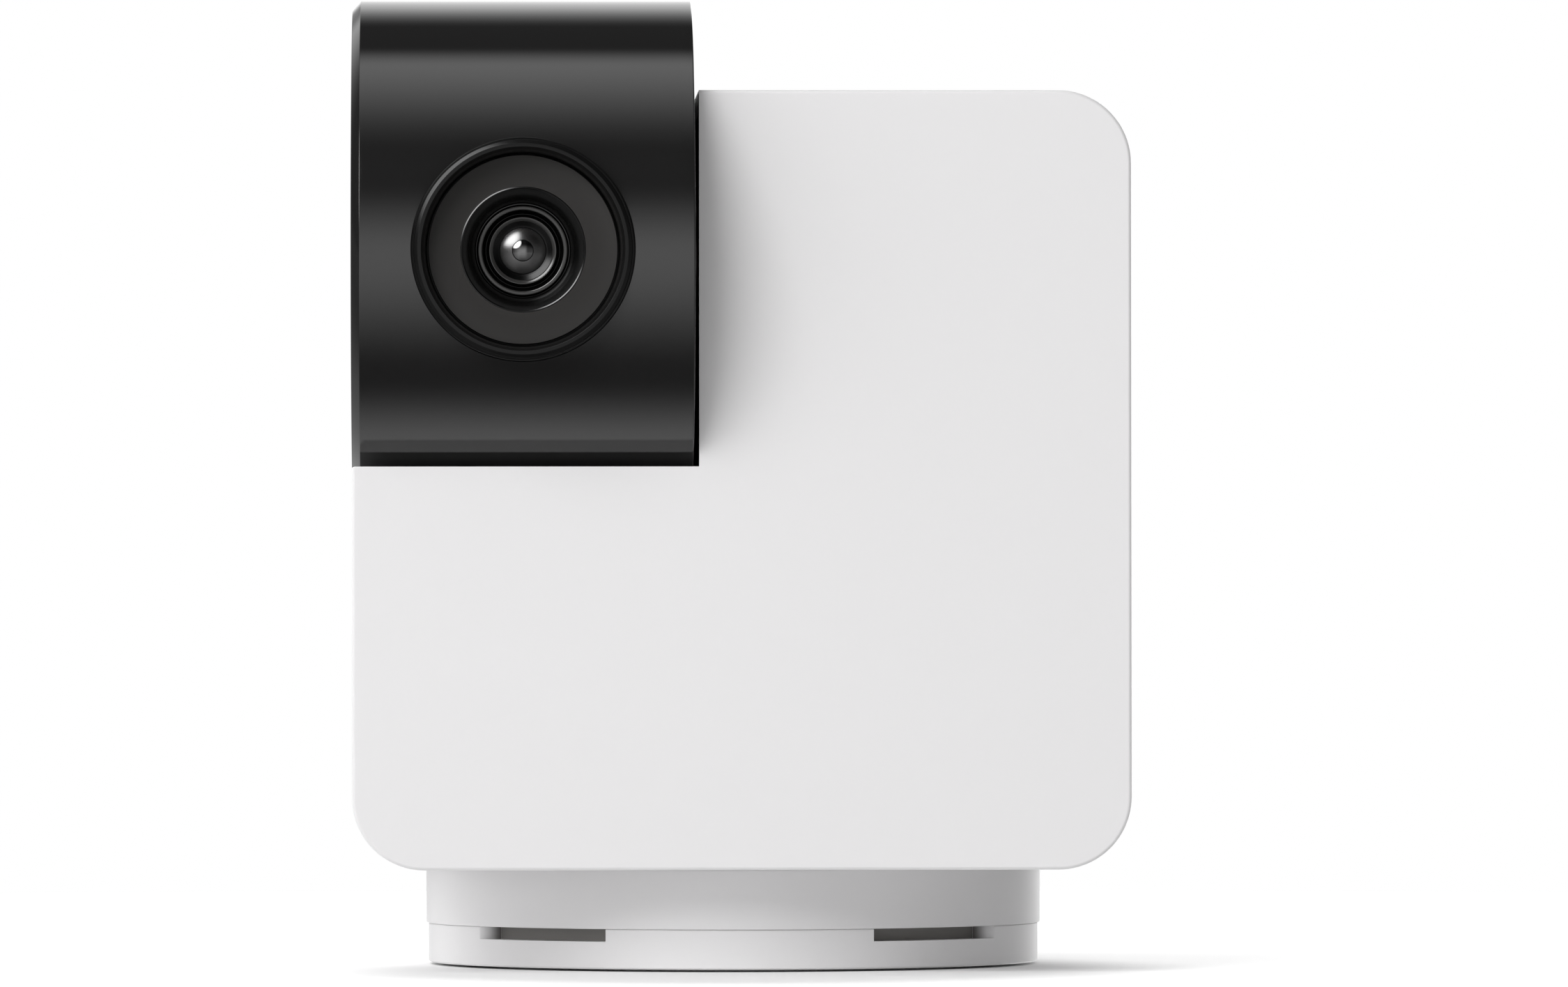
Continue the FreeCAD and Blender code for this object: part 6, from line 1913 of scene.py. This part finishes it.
    def build(self) -> None:
        """Builds the lens."""
        self.ring()
        self.bezel()
        self.barrel()
        self.ridges()
        self.glass()


@dataclass
class Insides:
    """The nodes that stay as they are: each gets the finish of its slot."""

    shop: Workshop
    frame: dict[str, Any]

    def build(self) -> None:
        """Dresses every node that the record names in a slot."""
        finishes = {finish.slot.value: finish for finish in PLAIN}
        for entry in self.frame["record"]["subparts"]:
            name = entry["node"]
            finish = LINER if name == "head_cradle" else finishes[entry["material_slot"]]
            node = self.frame["nodes"][name]
            node.data.materials.clear()
            node.data.materials.append(self.shop.paint.material(finish))
            LOG.info("%s: %s", name, finish.name)


# The studio


@dataclass(frozen=True)
class Band:
    """A softbox or backdrop that the gloss shows: bright between two heights, with soft edges.

    Heights are in degrees in the plane across the head: 0 is towards the camera, 90 is straight up, 180 is
    behind the object and -90 is straight down.

    Attributes:
        rise_from: The height at which it starts.
        full_from: The height from which it is at its brightest.
        full_to: The height up to which it stays so.
        fall_to: The height at which it ends.
        level: Its brightness.
    """

    rise_from: float
    full_from: float
    full_to: float
    fall_to: float
    level: float


@dataclass(frozen=True)
class Softbox:
    """A bright patch that the gloss shows in one direction.

    Attributes:
        towards: The direction.
        edge: How near to the direction it starts, as a cosine.
        full: How near to the direction it is at its brightest, as a cosine.
        level: Its brightness.
    """

    towards: Place
    edge: float
    full: float
    level: float


BANDS = (
    Band(46, 92, 93, 107, 1.85),
    Band(124, 152, 200, 210, 1.3),
    Band(-54, -2, 0, 32, 1.5),
    Band(-210, -200, -92, -58, 1.3),
)
SOFTBOX = Softbox((-0.47, -0.70, 0.54), 0.91, 0.97, 14.0)


@dataclass
class Studio:
    """The camera, the white room and the lamp.

    The camera's angles are in radians. The fades of the room go by a direction's parts, each from -1 to 1:
    across is from left to right, inward is from the camera to the wall behind the object, and up is from the
    floor to the ceiling.
    """

    eye: Place = (-22.94589, -985.13171, 29.68501)
    yaw: float = 0.02776
    pitch: float = 0.01068
    roll: float = -0.00091
    lens: float = 262.643
    sensor: float = 36.0
    clip: Span = (0.01, 20.0)

    gloss_least: float = 0.05
    gloss_turn: Fade = (-0.2, 0.3, 0.0, 0.35)
    gloss_left: Fade = (-0.8, -0.15, 0.1, 1.0)
    gloss_right: Fade = (0.12, 0.4, 1.0, 0.2)
    corner_inward: Fade = (0.8, 0.9, 0.0, 0.65)
    corner_across: Fade = (-0.1, -0.25, 0.0, 1.0)
    low_aside: Fade = (0.15, 0.35, 0.0, 0.3)
    low_up: Fade = (-0.05, -0.15, 0.0, 1.0)
    low_inward: Fade = (0.0, -0.3, 0.0, 1.0)
    rim_inward: Fade = (0.65, 0.95, 0.0, 2.0)
    rim_across: Fade = (0.05, 0.25, 0.0, 1.0)

    soft_inward: Fade = (0.0, 0.5, 0.612, 1.1)
    soft_left: Fade = (-0.5, -1.0, 1.0, 2.1)
    soft_middle: float = 1.15
    soft_sink: float = 0.6
    gap_towards: Place = (1.4, -1.0, 0.0)
    gap_near: Fade = (0.45, 0.9, 0.0, 0.85)
    gap_up: Fade = (0.6, 0.2, 0.0, 1.0)

    floor_radius: float = 260.0
    floor_level: float = -0.2
    floor_tone: float = 0.9
    shadow_middle: Place = (-1.25, -20.0, 0.0)
    shadow_narrow: float = 2.75
    shadow_long: float = 0.93
    shadow_edge: Fade = (0.027, 0.047, 0.0, 0.5)

    lamp_place: Place = (-330.0, -560.0, 480.0)
    lamp_aim: Place = (0.0, 0.0, 40.0)
    lamp_size: float = 420.0
    lamp_power: float = 3.2

    def camera(self) -> None:
        """The camera at the photograph's viewing angle."""
        data = bpy.data.cameras.new("camera")
        data.sensor_width = self.sensor
        data.lens = self.lens
        data.clip_start, data.clip_end = self.clip
        level, tilt = math.cos(self.pitch), math.sin(self.pitch)
        forward = Vector((math.sin(self.yaw) * level, math.cos(self.yaw) * level, tilt))
        right = Vector((math.cos(self.yaw), -math.sin(self.yaw), 0))
        up = right.cross(forward)
        across = right * math.cos(self.roll) + up * math.sin(self.roll)
        above = up * math.cos(self.roll) - right * math.sin(self.roll)
        turned = Matrix((across, above, -forward)).transposed().to_4x4()
        camera = bpy.data.objects.new("camera", data)
        camera.matrix_world = Matrix.Translation(Vector(self.eye) * MM) @ turned
        bpy.context.scene.collection.objects.link(camera)
        bpy.context.scene.camera = camera

    def gloss(self, tree: Tree, towards: Socket) -> Socket:
        """What gloss and glass see: bands of light, darker to the sides, and the softbox.

        Args:
            tree: The world's tree.
            towards: The direction that a ray goes in.

        Returns:
            The brightness there.
        """
        across, inward, up = tree.parts(towards)
        ahead = tree.maths("MULTIPLY", inward, -1.0)
        height = tree.maths("MULTIPLY", tree.maths("ARCTAN2", up, ahead), 180 / math.pi)
        glow: Any = self.gloss_least
        for band in BANDS:
            rise = tree.ramp(height, band.rise_from, band.full_from)
            fall = tree.ramp(height, band.full_to, band.fall_to, band.level, 0.0)
            glow = tree.maths("MULTIPLY_ADD", rise, fall, glow)
        turned = tree.maths("ADD", tree.ramp(inward, *self.gloss_turn), across)
        sides = (tree.ramp(turned, *self.gloss_left), tree.ramp(across, *self.gloss_right))
        glow = tree.maths("MULTIPLY", glow, tree.maths("MULTIPLY", *sides))
        corner = (tree.ramp(inward, *self.corner_inward), tree.ramp(across, *self.corner_across))
        glow = tree.maths("MULTIPLY", glow, tree.maths("SUBTRACT", 1.0, tree.maths("MULTIPLY", *corner)))
        aside = tree.ramp(tree.maths("ABSOLUTE", across), *self.low_aside)
        below = tree.maths("MULTIPLY", tree.ramp(up, *self.low_up), tree.ramp(inward, *self.low_inward))
        glow = tree.maths("MULTIPLY_ADD", aside, below, glow)
        rim = (tree.ramp(inward, *self.rim_inward), tree.ramp(across, *self.rim_across))
        glow = tree.maths("MULTIPLY_ADD", *rim, glow)
        near = tree.vectors("DOT_PRODUCT", towards, Vector(SOFTBOX.towards).normalized())
        return tree.maths("ADD", glow, tree.ramp(near, SOFTBOX.edge, SOFTBOX.full, 0.0, SOFTBOX.level))

    def soft(self, tree: Tree, towards: Socket) -> Socket:
        """What matt surfaces see: light from all round, less of it from the front right.

        Args:
            tree: The world's tree.
            towards: The direction that a ray goes in.

        Returns:
            The brightness there.
        """
        across, inward, up = tree.parts(towards)
        near = tree.vectors("DOT_PRODUCT", towards, Vector(self.gap_towards).normalized())
        gap = tree.maths("MULTIPLY", tree.ramp(near, *self.gap_near), tree.ramp(up, *self.gap_up))
        sideways = tree.maths("SUBTRACT", tree.ramp(across, *self.soft_left), gap)
        low = tree.maths("MULTIPLY_ADD", up, -self.soft_sink, self.soft_middle)
        all_round = tree.maths("MULTIPLY", sideways, low)
        return tree.maths("MULTIPLY", tree.ramp(inward, *self.soft_inward), all_round)

    def room(self) -> None:
        """The world: white to the camera, soft light to the rest, and the softboxes to gloss and glass."""
        world = bpy.data.worlds.new("room")
        bpy.context.scene.world = world
        world.use_nodes = True
        world.node_tree.nodes.clear()
        tree = Tree(world.node_tree)
        towards = tree.add("ShaderNodeTexCoord").outputs["Generated"]
        rays = tree.add("ShaderNodeLightPath").outputs
        shiny = tree.maths("MAXIMUM", rays["Is Glossy Ray"], rays["Is Transmission Ray"])
        seen = tree.blend(shiny, self.soft(tree, towards), self.gloss(tree, towards))
        strength = tree.blend(rays["Is Camera Ray"], seen, 1.0)
        light = tree.add("ShaderNodeBackground", {"Color": (1.0, 1.0, 1.0, 1.0), "Strength": strength})
        tree.add("ShaderNodeOutputWorld", {"Surface": light.outputs[0]})

    def floor(self) -> None:
        """The white floor, which keeps the object's shadow near its foot and is plain white further off."""
        level = self.floor_level
        floor = turn("floor", [(0, level), (self.floor_radius, level)], segments=96, closed=False)
        material = bpy.data.materials.new("white_floor")
        material.use_nodes = True
        material.node_tree.nodes.clear()
        tree = Tree(material.node_tree)
        place = tree.add("ShaderNodeTexCoord").outputs["Object"]
        across, inward, _ = tree.parts(tree.vectors("SUBTRACT", place, Vector(self.shadow_middle) * MM))
        aside = tree.maths("ADD", tree.maths("ABSOLUTE", across), self.shadow_narrow * MM)
        away = tree.vectors("LENGTH", tree.triple(aside, tree.maths("MULTIPLY", inward, self.shadow_long)))
        seen = tree.add("ShaderNodeLightPath").outputs["Is Camera Ray"]
        lift = tree.maths("MULTIPLY", seen, tree.ramp(away, *self.shadow_edge))
        matt = tree.add("ShaderNodeBsdfDiffuse", {"Color": (*[self.floor_tone] * 3, 1.0)})
        glow = tree.add("ShaderNodeEmission", {"Strength": lift})
        both = tree.add("ShaderNodeAddShader", {0: matt.outputs[0], 1: glow.outputs[0]})
        tree.add("ShaderNodeOutputMaterial", {"Surface": both.outputs[0]})
        floor.data.materials.append(material)
        floor.visible_glossy = False

    def lamp(self) -> None:
        """A square lamp that faces the middle of the object."""
        data = bpy.data.lights.new("key", "AREA")
        data.shape = "SQUARE"
        data.size = self.lamp_size * MM
        data.energy = self.lamp_power
        lamp = bpy.data.objects.new("key", data)
        place = Vector(self.lamp_place)
        turned = (Vector(self.lamp_aim) - place).to_track_quat("-Z", "Y").to_matrix().to_4x4()
        lamp.matrix_world = Matrix.Translation(place * MM) @ turned
        lamp.visible_glossy = False
        lamp.visible_camera = False
        bpy.context.scene.collection.objects.link(lamp)

    def build(self) -> None:
        """Sets up the studio."""
        bpy.context.scene.view_settings.view_transform = "Standard"
        self.camera()
        self.room()
        self.floor()
        self.lamp()


def main() -> None:
    """Builds the studio and every piece."""
    logging.basicConfig(level=logging.INFO, format="%(message)s")
    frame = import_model()
    shop = Workshop()
    Studio().build()
    Insides(shop, frame).build()
    for assembly in (RoundBase(shop), CubeBody(shop), CameraHead(shop), LensUnit(shop)):
        assembly.build()
        LOG.info("%s is done, %d pieces so far", type(assembly).__name__, shop.count)


if __name__ == "__main__":
    main()
